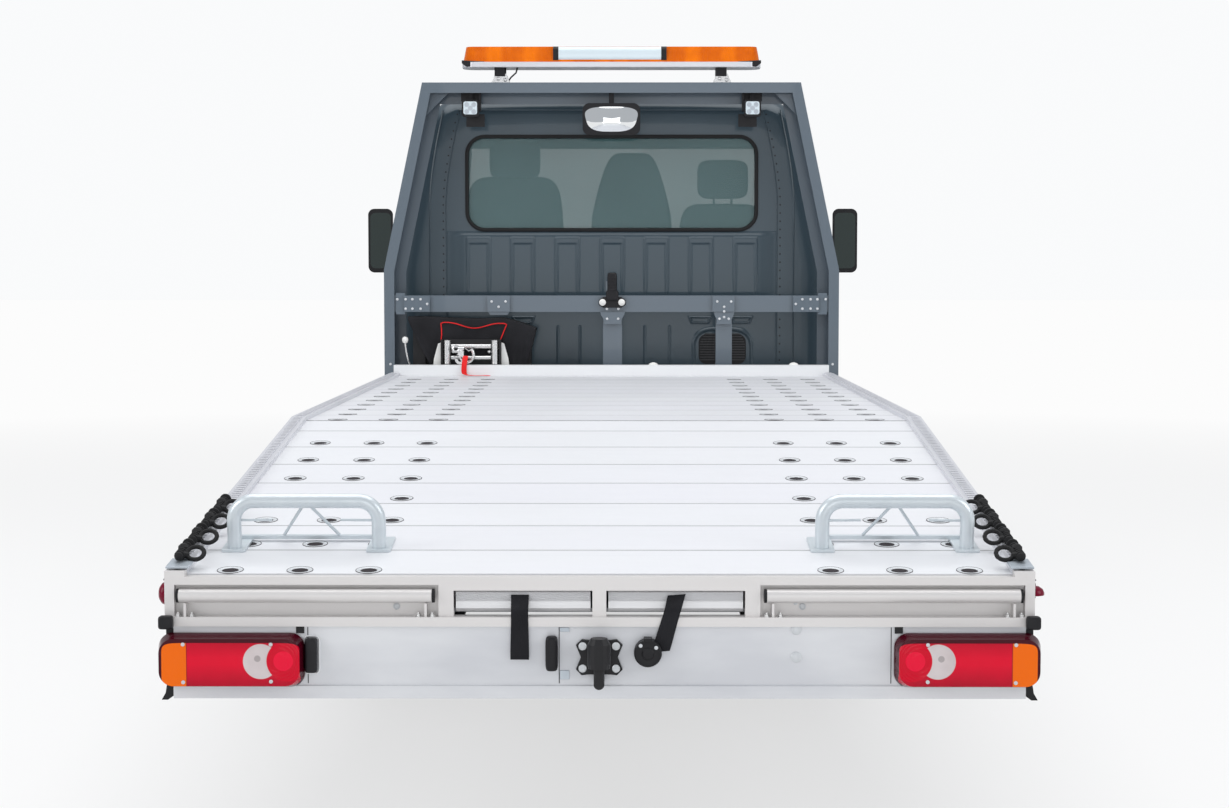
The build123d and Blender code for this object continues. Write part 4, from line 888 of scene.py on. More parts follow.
    def rings(self, turn):
        """Ribbed rubber stem lying along the rail, knob at its upper end, round loop leaning inward."""
        stem = []
        for index in range(7):
            start = -0.052 + index * 0.014
            stem += [(0.0078, start), (0.0132, start + 0.002), (0.0132, start + 0.006),
                     (0.0078, start + 0.008)]
        stem = [(0.004, -0.064), (0.0105, -0.06), (0.0115, -0.056), (0.0078, -0.053)] + stem
        stem += [(0.0075, 0.048), (0.007, 0.056), (0.0155, 0.058), (0.0165, 0.062), (0.0135, 0.066),
                 (0.004, 0.067)]
        along = ((1, 0, 0), (0, 0, 1), (0, -1, 0))
        fitting = Form()
        fitting.copies(lathe(stem, 14).turned(along), (0, 0, 0.0195))
        fitting.copies(lathe([(0.015, -0.019), (0.013, 0.012), (0.006, 0.019)], 12), (0, 0, 0.019))
        a = np.linspace(0, 2 * np.pi, 28, endpoint=False)
        lean = math.radians(42)
        inward = np.stack([-0.036 + 0.0215 * np.cos(a), -0.03 + 0.019 * np.sin(a) * math.cos(lean),
                           0.021 + 0.019 * np.sin(a) * math.sin(lean)], -1)
        fitting.copies(tube(inward, 0.0058, 8, closed=True))
        fitting.copies(tube([(-0.018, -0.034, 0.016), (-0.01, -0.036, 0.018), (0, -0.038, 0.0195)], 0.009,
                            8))
        right = fitting.turned(turn)
        down = slope_length - 0.12 - np.arange(4) * 0.165
        ribs = Form()
        places = on_slope(half_deck - 0.024, down, 0.015)
        ribs.copies(right, places)
        ribs.copies(right.mirrored(), places * (-1, 1, 1))
        piece = ribs.build("ring_stems", "rubber")
        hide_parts("lashing_rings")
        corner = Form()
        plate_form = bar((-0.031, -0.03, -0.001), (0.026, 0.052, 0.004)).turned(turn)
        corner.copies(plate_form, on_slope(half_deck - 0.026, slope_length - 0.046, 0.017))
        corner.copies(plate_form.mirrored(),
                      on_slope(half_deck - 0.026, slope_length - 0.046, 0.017) * (-1, 1, 1))
        corner.build("corner_plates", "galvanised", bevel=0.001)


class TransporterRear(bpy.types.Operator):
    """Roller ends and nuts, rubber blocks, socket, capsules, seams and screws of the rear face."""

    bl_idname = "transporter.rear"
    bl_label = "Rear face"

    def execute(self, context):
        self.rollers()
        self.rubbers()
        self.screws()
        self.sheet_lines()
        return {"FINISHED"}

    def rollers(self):
        """Thin black ends of the tubes, small nuts standing on the lip, a plug in each recess."""
        caps = Form()
        nuts = Form()
        end = lathe([(0.012, -0.003), (0.0172, -0.003), (0.0172, 0.003), (0.012, 0.003)],
                    24).turned(FACE_SIDE)
        nut = lathe([(0.0085, 0), (0.0085, 0.0016), (0.0065, 0.002), (0.0065, 0.007), (0.0035, 0.0075),
                     (0.0035, 0.0115)], 6)
        plug = lathe([(0.0085, 0), (0.0085, 0.002), (0.0055, 0.003), (0.005, 0.0015), (0.001, 0.0015)], 16)
        for side in (-1, 1):
            for x in (0.4075, 1.0355):
                caps.copies(end, rear_point(side * x, 0.003, 0.047))
            for x in (0.427, 1.017):
                for dx in (-0.017, 0.017):
                    nuts.copies(nut, rear_point(side * x + dx, -0.004, 0.098))
        plugs = Form().copies(plug.turned(FACE_REAR),
                              [rear_point(side * 0.5, 0.0215, 0.076) for side in (-1, 1)])
        plugs.build("recess_plugs", "zinc")
        caps.build("roller_ends", "black_plastic")
        nuts.build("bracket_nuts", "bright_steel")

    def rubbers(self):
        """Lip blocks, bevelled end caps of the lower flange, socket and handle capsules, and a rim round the
        handle.
        """
        form = Form()
        for side in (-1, 1):
            form.copies(pillow(rear_point(side * 1.0605, -0.023, 0.109), (0.0175, 0.013, 0.0165), 0.35, 10,
                               20))
            wedge = np.array([(1.046, 0.262), (1.046, 0.293), (1.06, 0.303), (1.076, 0.303), (1.066, 0.286),
                              (1.062, 0.262)])
            wedge = np.column_stack([side * wedge[:, 0], rear_edge_z - wedge[:, 1]])
            form.copies(plate(wedge, rear_edge_y - 0.012, rear_edge_y + 0.046))
            form.copies(bar(rear_point(side * 1.054 - 0.01, -0.006, 0.262),
                            rear_point(side * 1.054 + 0.01, 0.04, 0.126)))
        form.copies(pillow(rear_point(-0.1165, -0.0205, 0.1855), (0.0155, 0.0145, 0.043), 0.7, 20, 24,
                           flat=0.35))
        form.copies(pillow(rear_point(-0.706, -0.0185, 0.191), (0.015, 0.0125, 0.0425), 0.45, 20, 24,
                           flat=0.25))
        socket = lathe([(0.034, 0), (0.034, 0.03), (0.031, 0.034), (0.028, 0.0325), (0.0155, 0.0325),
                        (0.013, 0.036), (0.004, 0.037)], 32).turned(FACE_REAR)
        form.copies(socket, rear_point(0.119, -0.006, 0.183))
        form.copies(bar(rear_point(0.109, -0.04, 0.154), rear_point(0.129, -0.006, 0.146)))
        rubber = form.build("rear_rubbers", "black_plastic", bevel=0.0012)
        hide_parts("rear_fittings")
        rim = rounded_outline(0.036, 0.092, 0.01, 6)
        path = np.column_stack([rim[:, 0] - 0.7055, np.full(len(rim), rear_edge_y - 0.0085),
                                rim[:, 1] + rear_edge_z - 0.191])
        tube(path, 0.0022, 8, closed=True).build("handle_rim", "bright_edge")

    def screws(self):
        """Flat coupling bolts, socket screws, round studs on the board and lens screws."""
        flat = lathe([(0.0098, 0), (0.0098, 0.0025), (0.0084, 0.0038), (0.003, 0.004)],
                     24).turned(FACE_REAR)
        small = lathe([(0.0048, 0), (0.0048, 0.0016), (0.002, 0.0026)], 12).turned(FACE_REAR)
        stud = lathe([(0.0135, 0), (0.0135, 0.002), (0.0105, 0.0042), (0.003, 0.0052)],
                     24).turned(FACE_REAR)
        bolts = Form()
        for x in (-0.041, 0.041):
            for drop in (0.168, 0.223):
                bolts.copies(flat, rear_point(x, -0.018, drop))
        for drop in (0.128, 0.197):
            bolts.copies(stud, rear_point(0.483, -0.006, drop))
        bolts.copies(small, rear_point(0.483, 0.0215, 0.068))
        bolts.build("rear_bolts", "zinc")
        screws = Form()
        for x, drop in ((0.101, 0.163), (0.139, 0.168)):
            screws.copies(small, rear_point(x, -0.0385, drop))
        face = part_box("rear_lamps")[0].y
        for side in (-1, 1):
            for x, drop in ((1.013, 0.158), (1.013, 0.251), (0.799, 0.158), (0.799, 0.249)):
                screws.copies(small, (side * x, face - 0.0003, rear_edge_z - drop))
        screws.build("rear_screws", "zinc")

    def sheet_lines(self):
        """Upright seams of the board, and its clips."""
        seams = Form()
        for x in (-0.7155, -0.0985, 0.7155):
            seams.copies(bar((x - 0.001, rear_edge_y - 0.0068, rear_edge_z - 0.262),
                             (x + 0.001, rear_edge_y - 0.0055, rear_edge_z - 0.123)))
        for side in (-1, 1):
            seams.copies(bar((side * 0.734 - 0.01, rear_edge_y - 0.0095, rear_edge_z - 0.138),
                             (side * 0.734 + 0.01, rear_edge_y - 0.0055, rear_edge_z - 0.122)))
        seams.build("board_seams", "black_frame")
        clips = Form()
        for drop, tall in ((0.129, 0.01), (0.241, 0.022)):
            clips.copies(bar((-0.0965, rear_edge_y - 0.0085, rear_edge_z - drop - tall / 2),
                             (-0.0735, rear_edge_y - 0.0055, rear_edge_z - drop + tall / 2)))
        clips.build("board_clips", "galvanised", bevel=0.0006)


class TransporterStraps(bpy.types.Operator):
    """Webbing of the two ramps: a flat band hanging from each pocket."""

    bl_idname = "transporter.straps"
    bl_label = "Ramp straps"

    def execute(self, context):
        s = settings_of(context)
        for name, _ in SIDES:
            low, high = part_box("ramp_strap_" + name)
            self.strap(name, low, high, s)
        return {"FINISHED"}

    def strap(self, name, low, high, s):
        """Band: u runs across, v down its length; it comes out over the lip and hangs straight."""
        rows, columns = 60, 9
        v = np.linspace(0, 1, rows)[:, None]
        u = np.linspace(-0.5, 0.5, columns)[None, :]
        front = low.y + 0.0016
        back = min(high.y - 0.0012, rear_edge_y + 0.004)
        tall = high.z - low.z - 0.003
        ease = np.clip((v - 0.02) / 0.22, 0, 1)
        ease = ease * ease * (3 - 2 * ease)
        lean = 0.0 if name == "left" else 0.04
        middle = -0.195 if name == "left" else 0.173
        x = middle + u * s.strap_width * (1 - 0.04 * np.sin(v * 5)) + lean * (0.42 - v)
        y = back + (front - back) * ease - 0.0007 * np.sin(v * 9) * ease + 0.0 * u
        z = high.z - 0.0015 - v * tall + 0.004 * u * (name == "right") + 0.0 * u
        centre = np.stack([x + 0 * v, y + 0 * u, z + 0 * u], -1)
        skin = 0.0011
        ring = np.concatenate([centre - (0, skin, 0), centre[:, ::-1] + (0, skin, 0)], 1)
        strap = loft(ring).build(
            "strap_" + name, "webbing", body="ramp_" + name)
        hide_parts("ramp_strap_" + name)
        "ramp_" + name


class TransporterWinch(bpy.types.Operator):
    """Cloth over the winch, red piping, fairlead rollers and brackets, lever, hook and hook strap."""

    bl_idname = "transporter.winch"
    bl_label = "Winch"

    def execute(self, context):
        low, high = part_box("winch_cover")
        self.cover(low, high)
        self.piping(low)
        self.brackets()
        self.hook_bow()
        self.hook_strap()
        return {"FINISHED"}

    def edges(self, low, high, height):
        """Left and right edge of the cloth at a share of its height: both lean inward below."""
        return low.x + 0.004 + 0.125 * (1 - height) ** 1.1, high.x - 0.004 - 0.05 * (1 - height)

    def skin(self, low, high, rows=46, columns=70):
        """Cloth from the hem up the rear face, over the rounded top and down behind; folds are sines of x."""
        x = np.linspace(0, 1, columns)[None, :]
        v = np.linspace(0, 1, rows)[:, None]
        depth = high.y - low.y
        tall = high.z - low.z
        path = np.array([(0.0, 0.0), (0.006, 0.5), (0.012, 0.86), (0.045, 0.985), (0.1, 1.0), (0.5, 1.0),
                         (0.9, 1.0),
                         (0.955, 0.985), (0.988, 0.86), (0.994, 0.5), (1.0, 0.0)])
        steps = np.linspace(0, 1, len(path))
        py = np.interp(v, steps, path[:, 0])
        pz = np.interp(v, steps, path[:, 1])
        slope = np.clip((x - 0.72) / 0.28, 0, 1)
        top = 0.985 - 0.22 * slope ** 1.3 + 0.008 * np.sin(x * 9)
        sag = 0.009 * np.sin(np.pi * x) * np.exp(-((v - 0.5) / 0.22) ** 2)
        near_end = np.clip((x - 0.74) / 0.26, 0, 1) + np.clip((0.2 - x) / 0.2, 0, 1)
        fold = 0.0045 * np.sin(x * 23 + 1.2) * (1 - pz) + 0.003 * np.sin(x * 61) * (1 - pz) ** 2
        fold = fold + 0.005 * near_end * np.sin(x * 95 + pz * 5) * (1.1 - pz)
        left, right = self.edges(low, high, pz)
        px = left + (right - left) * x + 0 * v
        yy = low.y + 0.006 + (depth - 0.012) * py + fold * np.where(v < 0.5, -1, 1) * 0.8
        zz = low.z + 0.002 + (tall - 0.004) * pz * top - sag
        return np.stack([px, np.clip(yy + 0 * x, low.y - 0.004, high.y + 0.004), zz + 0 * x], -1)

    def cover(self, low, high):
        """Cloth skin with its inner side drawn in towards the middle, and a flap at each end."""
        grid = self.skin(low, high)
        middle = (np.array(low) + np.array(high)) / 2
        inner = middle + (grid - middle) * (0.992, 0.985, 0.988)
        inner[..., 2] = np.maximum(inner[..., 2], low.z + 0.002)
        form = loft(np.concatenate([grid, inner[:, ::-1]], 1))
        cover = form.build("winch_cloth", "cover_cloth")
        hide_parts("winch_cover")
        ends = self.end_flaps(low, high)

    def end_flaps(self, low, high):
        """Cloth closing each end: from the hem up to the cover's own outline."""
        made = []
        for index, (name, top) in enumerate((("left", 0.95), ("right", 0.745))):
            v = np.linspace(0, 1, 12)[:, None]
            u = np.linspace(0, 1, 20)[None, :]
            height = (high.z - low.z) * top - 0.006
            bulge = 0.006 * np.sin(np.pi * u) * np.sin(np.pi * v) * (-1 if name == "left" else 1) * 0.5
            y = low.y + 0.012 + (high.y - low.y - 0.024) * u + 0 * v
            z = low.z + 0.003 + height * v + 0 * u
            x = self.edges(low, high, v)[index] + 0.002 * (1 - 2 * index)
            outer = np.stack([x + bulge, y, z], -1)
            inner = outer + (0.0012 if name == "left" else -0.0012, 0, 0)
            flap = loft(np.concatenate([outer, inner[:, ::-1]], 1)).build(
                "winch_cloth_" + name, "cover_cloth")
            made.append((flap, (high.y - low.y - 0.024, height)))
        return made

    def piping(self, low):
        """Red cord round a field: waved top edge, upright left side, slanting right side, straight foot."""
        t = np.linspace(0, 1, 26)
        top = np.column_stack([-0.83 + 0.322 * t,
                               1.214 - 0.006 * t - 0.016 * np.sin(np.pi * t) + 0.008 * np.sin(3 * np.pi * t)])
        right = np.column_stack([-0.508 - 0.036 * t, 1.208 - 0.088 * t])
        foot = np.column_stack([-0.544 - 0.286 * t, 1.12 + 0.004 * np.sin(np.pi * t)])
        left = np.column_stack([-0.83 + 0.004 * np.sin(np.pi * t), 1.12 + 0.094 * t])
        path = np.concatenate([part[1:-1] for part in (top, right, foot, left)])
        y = low.y + 0.003 - 0.0016 * np.sin(path[:, 0] * 40)
        points = np.column_stack([path[:, 0], y, path[:, 1]])
        tube(points, 0.0026, 8, closed=True).build("cover_piping", "red_webbing")

    def brackets(self):
        """Two upright and two cross rollers, pale side brackets, nuts, and the clutch lever with its knob."""
        low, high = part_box("fairlead_frame")
        guide_low, guide_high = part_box("fairlead_rollers")
        y = guide_low.y + 0.019
        middle = (guide_low.z + guide_high.z) / 2
        drums = Form()
        upright = lathe([(0.0185, -0.057), (0.0185, 0.057)], 28)
        across = lathe([(0.0115, -0.096), (0.0115, 0.096)], 24).turned(FACE_SIDE)
        inset = 0.0295
        drums.copies(upright, [(low.x + inset, y, middle), (high.x - inset, y, middle)])
        drums.copies(across, [((low.x + high.x) / 2, y, middle + dz) for dz in (-0.028, 0.028)])
        rollers = drums.build("fairlead_drums", "bright_steel")
        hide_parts("fairlead_rollers")
        form = Form()
        for side, x in ((-1, low.x), (1, high.x)):
            wedge = np.array([(0.0, 1.118), (0.014, 1.112), (0.034, 1.04), (0.04, 0.985), (0.0, 0.985)])
            wedge = np.column_stack([x + side * (wedge[:, 0] + 0.0005), wedge[:, 1]])
            form.copies(plate(wedge, high.y - 0.022, high.y - 0.002))
        form.build("fairlead_brackets", "white_housing", bevel=0.002)
        caps = Form()
        head = lathe([(0.0115, 0), (0.0115, 0.004), (0.007, 0.007)], 6)
        for x in (low.x + 0.0265, high.x - 0.0265):
            caps.copies(head, (x, low.y + 0.0175, high.z - 0.0085))
        for x, z in ((low.x + 0.058, 1.0735), (high.x - 0.058, 1.0735)):
            caps.copies(lathe([(0.009, 0), (0.009, 0.005), (0.005, 0.008)], 6).turned(FACE_REAR),
                        (x, high.y - 0.0065, z))
        caps.build("fairlead_nuts", "bright_steel")
        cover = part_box("winch_cover")
        x, y, z = cover[0].x - 0.004, cover[0].y - 0.012, 1.118
        line = np.array([(x + 0.028, y + 0.03, 0.985), (x + 0.012, y + 0.01, 1.035),
                         (x + 0.004, y + 0.002, 1.08), (x, y, z)])
        tube(line, 0.0045, 10).build("clutch_arm", "bright_steel")
        knob = lathe([(0.004, -0.017), (0.011, -0.013), (0.0155, 0.0), (0.0135, 0.01), (0.006, 0.016)], 20)
        Form().copies(knob, (x, y, z + 0.012)).build("clutch_knob", "white_housing", slot="lamp_glass")

    def hook_bow(self):
        """Bright hook in front of the rollers: a round bow open at the top, an eye at its upper left."""
        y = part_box("winch_hook")[0].y + 0.009
        turn = np.radians(np.linspace(118, 410, 40))
        bow = np.column_stack([-0.7 + 0.033 * np.cos(turn), np.full(40, y), 1.059 + 0.036 * np.sin(turn)])
        steel = Form()
        steel.copies(tube(bow, 0.0078, 10))
        ring = np.radians(np.linspace(0, 360, 24, endpoint=False))
        eye = np.column_stack([-0.752 + 0.015 * np.cos(ring), np.full(24, y), 1.088 + 0.013 * np.sin(ring)])
        steel.copies(tube(eye, 0.0062, 8, closed=True))
        steel.copies(tube([(-0.74, y, 1.09), (-0.726, y, 1.092), (-0.714, y, 1.09)], 0.0088, 10))
        steel.copies(tube([(-0.672, y - 0.001, 1.09), (-0.69, y - 0.002, 1.078), (-0.706, y - 0.001, 1.091)],
                          0.0026, 6))
        steel.build("hook_bow", "bright_steel")

    def hook_strap(self):
        """Red pull strap: a flat band from the hook down over the threshold to the deck."""
        line = np.array([(-0.703, 1.158, 1.056), (-0.704, 1.13, 1.05), (-0.706, 1.106, 1.026),
                         (-0.709, 1.101, 0.994),
                         (-0.708, 1.094, 0.972), (-0.692, 1.086, 0.9645), (-0.65, 1.07, 0.964),
                         (-0.612, 1.058, 0.9665), (-0.574, 1.05, 0.964)])
        path = resample(line, 40)
        kernel = np.ones(7) / 7
        padded = np.concatenate([np.repeat(path[:1], 3, 0), path, np.repeat(path[-1:], 3, 0)])
        path = np.column_stack([np.convolve(padded[:, i], kernel, "valid") for i in range(3)])
        ahead = np.gradient(path, axis=0)
        ahead /= np.linalg.norm(ahead, axis=1, keepdims=True)
        down = np.clip((path[:, 2:] - 0.966) / 0.012, 0, 1)
        across = down * (1.0, 0.25, 0.0) + (1 - down) * (0.35, 0.94, 0.0)
        across -= ahead * (across * ahead).sum(1, keepdims=True)
        across /= np.linalg.norm(across, axis=1, keepdims=True)
        thin = np.cross(across, ahead) * 0.0008
        across = across * 0.0125
        ring = np.stack([path + across + thin, path - across + thin, path - across - thin,
                         path + across - thin], 1)
        strap = loft(ring).build("hook_strap", "red_webbing",
                                                                 slot="strap_fabric")


class TransporterHeadboard(bpy.types.Operator):
    """Crossbar plates, flared post heads, their bolts, black centre bracket and sill studs."""

    bl_idname = "transporter.headboard"
    bl_label = "Headboard fittings"

    def execute(self, context):
        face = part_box("headboard_bars")[0].y
        plates = Form()
        bolts = Form()
        small = lathe([(0.0062, 0), (0.0062, 0.0026), (0.0035, 0.0042)], 12).turned(FACE_REAR)
        spots = []
        for x0, x1 in ((-1.012, -0.885), (-0.605, -0.495), (0.492, 0.6), (0.885, 1.012)):
            plates.copies(bar((x0, face - 0.0045, 1.2655), (x1, face - 0.0003, 1.3445)))
        for side in (-1, 1):
            for x in (0.97, 1.003):
                spots += [(side * x, 1.327), (side * x, 1.281)]
            spots += [(side * 0.93, 1.327), (side * 0.93, 1.281), (side * 0.898, 1.304)]
        for x in (-0.5495, 0.5495):
            spots += [(x - 0.034, 1.316), (x + 0.034, 1.316), (x, 1.29)]
        spots += [(-0.022, 1.281), (0.034, 1.281), (0.5495, 1.268), (0.5495, 1.24)]
        flare = np.array([(-1, 1.265), (1, 1.265), (0.94, 1.25), (0.72, 1.228), (0.7, 1.205),
                          (-0.7, 1.205), (-0.72, 1.228), (-0.94, 1.25)])
        short = np.array([(-1, 1.265), (1, 1.265), (0.8, 1.25), (-0.8, 1.25)])
        for x, half, outline in ((0.006, 0.06, flare), (0.5495, 0.05, flare), (-0.5495, 0.052, short)):
            plates.copies(plate(outline * (half, 1) + (x, 0), face + 0.001, face + 0.0075))
        for x, half in ((0.006, 0.06), (0.5495, 0.05)):
            spots += [(x - half * 0.45, 1.232), (x + half * 0.45, 1.232)]
        for x, z in spots:
            bolts.copies(small, (x, face - (0.0045 if z > 1.266 else -0.001), z))
        for x in (-0.016, 0.028, 0.533, 0.566):
            bolts.copies(small, (x, face + 0.0115, 0.945))
        plates.build("crossbar_plates", "frame_paint", bevel=0.0008)
        for x in (-1.08, 1.08):
            bolts.copies(small, (x, board_low.y - 0.0003, 1.01))
            bolts.copies(small, (x * 0.966, face - 0.0045, 1.327))
        bolts.build("crossbar_bolts", "zinc")
        self.centre_bracket(face)
        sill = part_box("winch_platform")
        studs = Form()
        dome = lathe([(0.0235, -0.001), (0.0225, 0.004), (0.016, 0.01), (0.004, 0.0135)], 20)
        for x in (0.203, 0.88):
            studs.copies(dome, (x, sill[0].y + 0.03, sill[1].z - 0.001))
        studs.build("sill_studs", "white_housing", slot="lamp_glass")
        return {"FINISHED"}

    def centre_bracket(self, face):
        """Black plastic saddle over the crossbar: upright ribbed grip, wide foot, two pale round bolts."""
        saddle = Form()
        saddle.copies(pillow((0.004, face - 0.004, 1.395), (0.0235, 0.022, 0.062), 0.5, 20, 24, flat=0.3))
        saddle.copies(pillow((0.004, face - 0.006, 1.345), (0.031, 0.02, 0.026), 0.4, 16, 24, flat=0.35))
        foot = [(-0.062, 1.322), (-0.04, 1.338), (0.048, 1.338), (0.07, 1.322), (0.07, 1.3), (0.048, 1.286),
                (-0.04, 1.286), (-0.062, 1.3)]
        saddle.copies(plate(foot, face - 0.012, face - 0.0002))
        for z in np.linspace(1.372, 1.43, 5):
            saddle.copies(bar((-0.016, face - 0.0275, z - 0.003), (0.024, face - 0.022, z + 0.003)))
        saddle.build("centre_saddle", "black_plastic", bevel=0.001)
        heads = Form()
        head = lathe([(0.0165, 0), (0.0165, 0.005), (0.0125, 0.009), (0.004, 0.0105)], 24).turned(FACE_REAR)
        heads.copies(head, [(-0.043, face - 0.0115, 1.312), (0.05, face - 0.0115, 1.312)])
        heads.build("saddle_bolts", "white_housing")


class TransporterBeacon(bpy.types.Operator):
    """Light bar's dividers, clear middle, feet and lead, work lights' lenses and arms, and the mirrors."""

    bl_idname = "transporter.beacon"
    bl_label = "Light bar, work lights, mirror"

    def execute(self, context):
        low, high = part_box("light_bar_lens")
        tall = high.z - low.z
        deep = high.y - low.y
        middle = ((low.y + high.y) / 2, (low.z + high.z) / 2)
        dividers = Form()
        section = rounded_outline(deep + 0.003, tall + 0.0006, 0.022, 6) + middle - (0, 0.0004)
        for x in (-0.269, 0.254):
            dividers.copies(slab(section, x - 0.013, x + 0.013))
        dividers.build("bar_dividers", "black_plastic")
        section = rounded_outline(deep + 0.001, tall - 0.002, 0.024, 6) + middle
        slab(section, -0.258, 0.243).build("bar_middle", "clear_lens")
        feet = Form()
        steel = Form()
        for side in (-1, 1):
            x = side * 0.537
            feet.copies(bar((x - 0.03, low.y + 0.03, low.z - 0.066),
                            (x + 0.022, high.y - 0.03, low.z - 0.022)))
            foot = [(x - 0.045, board_high.z + 0.001), (x - 0.026, board_high.z + 0.044),
                    (x + 0.026, board_high.z + 0.044),
                    (x + 0.045, board_high.z + 0.001)]
            steel.copies(plate(foot, low.y + 0.034, low.y + 0.04))
            steel.copies(plate(foot, high.y - 0.04, high.y - 0.034))
            steel.copies(lathe([(0.01, 0), (0.01, 0.005), (0.005, 0.008)], 6).turned(FACE_REAR),
                         [(x - 0.012, low.y + 0.034, board_high.z + 0.02),
                          (x + 0.022, low.y + 0.034, board_high.z + 0.014)])
            outline = np.array([(0.612, low.z - 0.021), (0.612, low.z + 0.002), (0.7235, low.z + 0.008),
                                (0.7235, low.z - 0.006), (0.7, low.z - 0.0235)]) * (side, 1)
            feet.copies(plate(outline, low.y - 0.0015, high.y + 0.0015))
        feet.build("bar_feet", "black_plastic", bevel=0.002)
        steel.build("bar_brackets", "bright_steel", bevel=0.0008)
        x = -0.537
        lead = np.array([(x + 0.08, low.y + 0.05, low.z - 0.024), (x + 0.074, low.y + 0.045, low.z - 0.048),
                         (x + 0.048, low.y + 0.042, low.z - 0.072),
                         (x + 0.034, low.y + 0.046, board_high.z + 0.0035)])
        tube(resample(lead, 25), 0.0038, 8).build("bar_lead", "rubber")
        lamp_low, lamp_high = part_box("work_lights")
        lenses = Form()
        cells = Form()
        arms = Form()
        cell = lathe([(0.0118, 0.0), (0.0105, -0.0015), (0.0045, -0.0052), (0.002, -0.0054)],
                     14).turned(FACE_REAR)
        for x in (-lamp_x, lamp_x):
            outline = rounded_outline(0.066, 0.062, 0.01, 5) + (x, lamp_z)
            lenses.copies(plate(outline, lamp_low.y - 0.0008, lamp_low.y + 0.002))
            for dx, dz in ((-0.017, 0.017), (0.017, 0.017), (-0.017, -0.017), (0.017, -0.017), (0, 0)):
                cells.copies(cell, (x + dx, lamp_low.y - 0.0012, lamp_z - 0.001 + dz))
            side = 1 if x < 0 else -1
            arms.copies(bar((x - 0.048, lamp_high.y + 0.001, 2.29), (x + 0.048, lamp_high.y + 0.007, 2.33)))
            arms.copies(bar((x + side * 0.046 - 0.004, lamp_low.y + 0.018, 2.24),
                            (x + side * 0.046 + 0.004, lamp_high.y + 0.006, 2.33)))
            arms.copies(bar((x + side * 0.02 - 0.045, lamp_high.y + 0.03, 2.168),
                            (x + side * 0.02 + 0.045, lamp_high.y + 0.034, 2.23)))
        lenses.build("work_lenses", "clear_lens")
        cells.build("work_cells", "galvanised", slot="lamp_glass")
        arms.build("work_arms", "black_frame", bevel=0.0006)
        self.dome(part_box("rear_view_mirror")[0])
        for name, side in SIDES:
            self.side_glass(name, side)
        return {"FINISHED"}

    def dome(self, low):
        """Convex mirror: depth falls with the square of the distance, the outline is wider at the top."""
        v = np.linspace(0.02, 1, 16)[:, None]
        a = np.linspace(0, 2 * np.pi, 56, endpoint=False)[None, :]
        x = v * power(np.cos(a), 0.62)
        z = v * power(np.sin(a), 0.62)
        wide = 1.0 + 0.13 * z
        y = low.y - 0.015 + 0.0135 * v * v + 0 * a
        grid = np.stack([0.124 * x * wide, y, 2.199 + 0.06 * z + 0 * y], -1)
        back = grid[-1:] + (0, 0.006, 0)
        loft(np.concatenate([grid, back])).build(
            "mirror_dome", "mirror_glass")
        tube(grid[-1] + (0, 0.004, 0), 0.0042, 8, closed=True).build(
            "mirror_rim", "black_plastic", slot="mirror_housing")

    def side_glass(self, name, side):
        """Dark glass of a door mirror: a flat rounded field in the rear of its housing."""
        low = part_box("door_mirror_" + name)[0]
        middle = side * 1.2575
        outline = rounded_outline(0.112, 0.3, 0.028, 8) + (middle, 1.628)
        plate(outline, low.y - 0.0008, low.y + 0.003).build(
            "mirror_pane_" + name, "dark_glass", body="door_" + name)


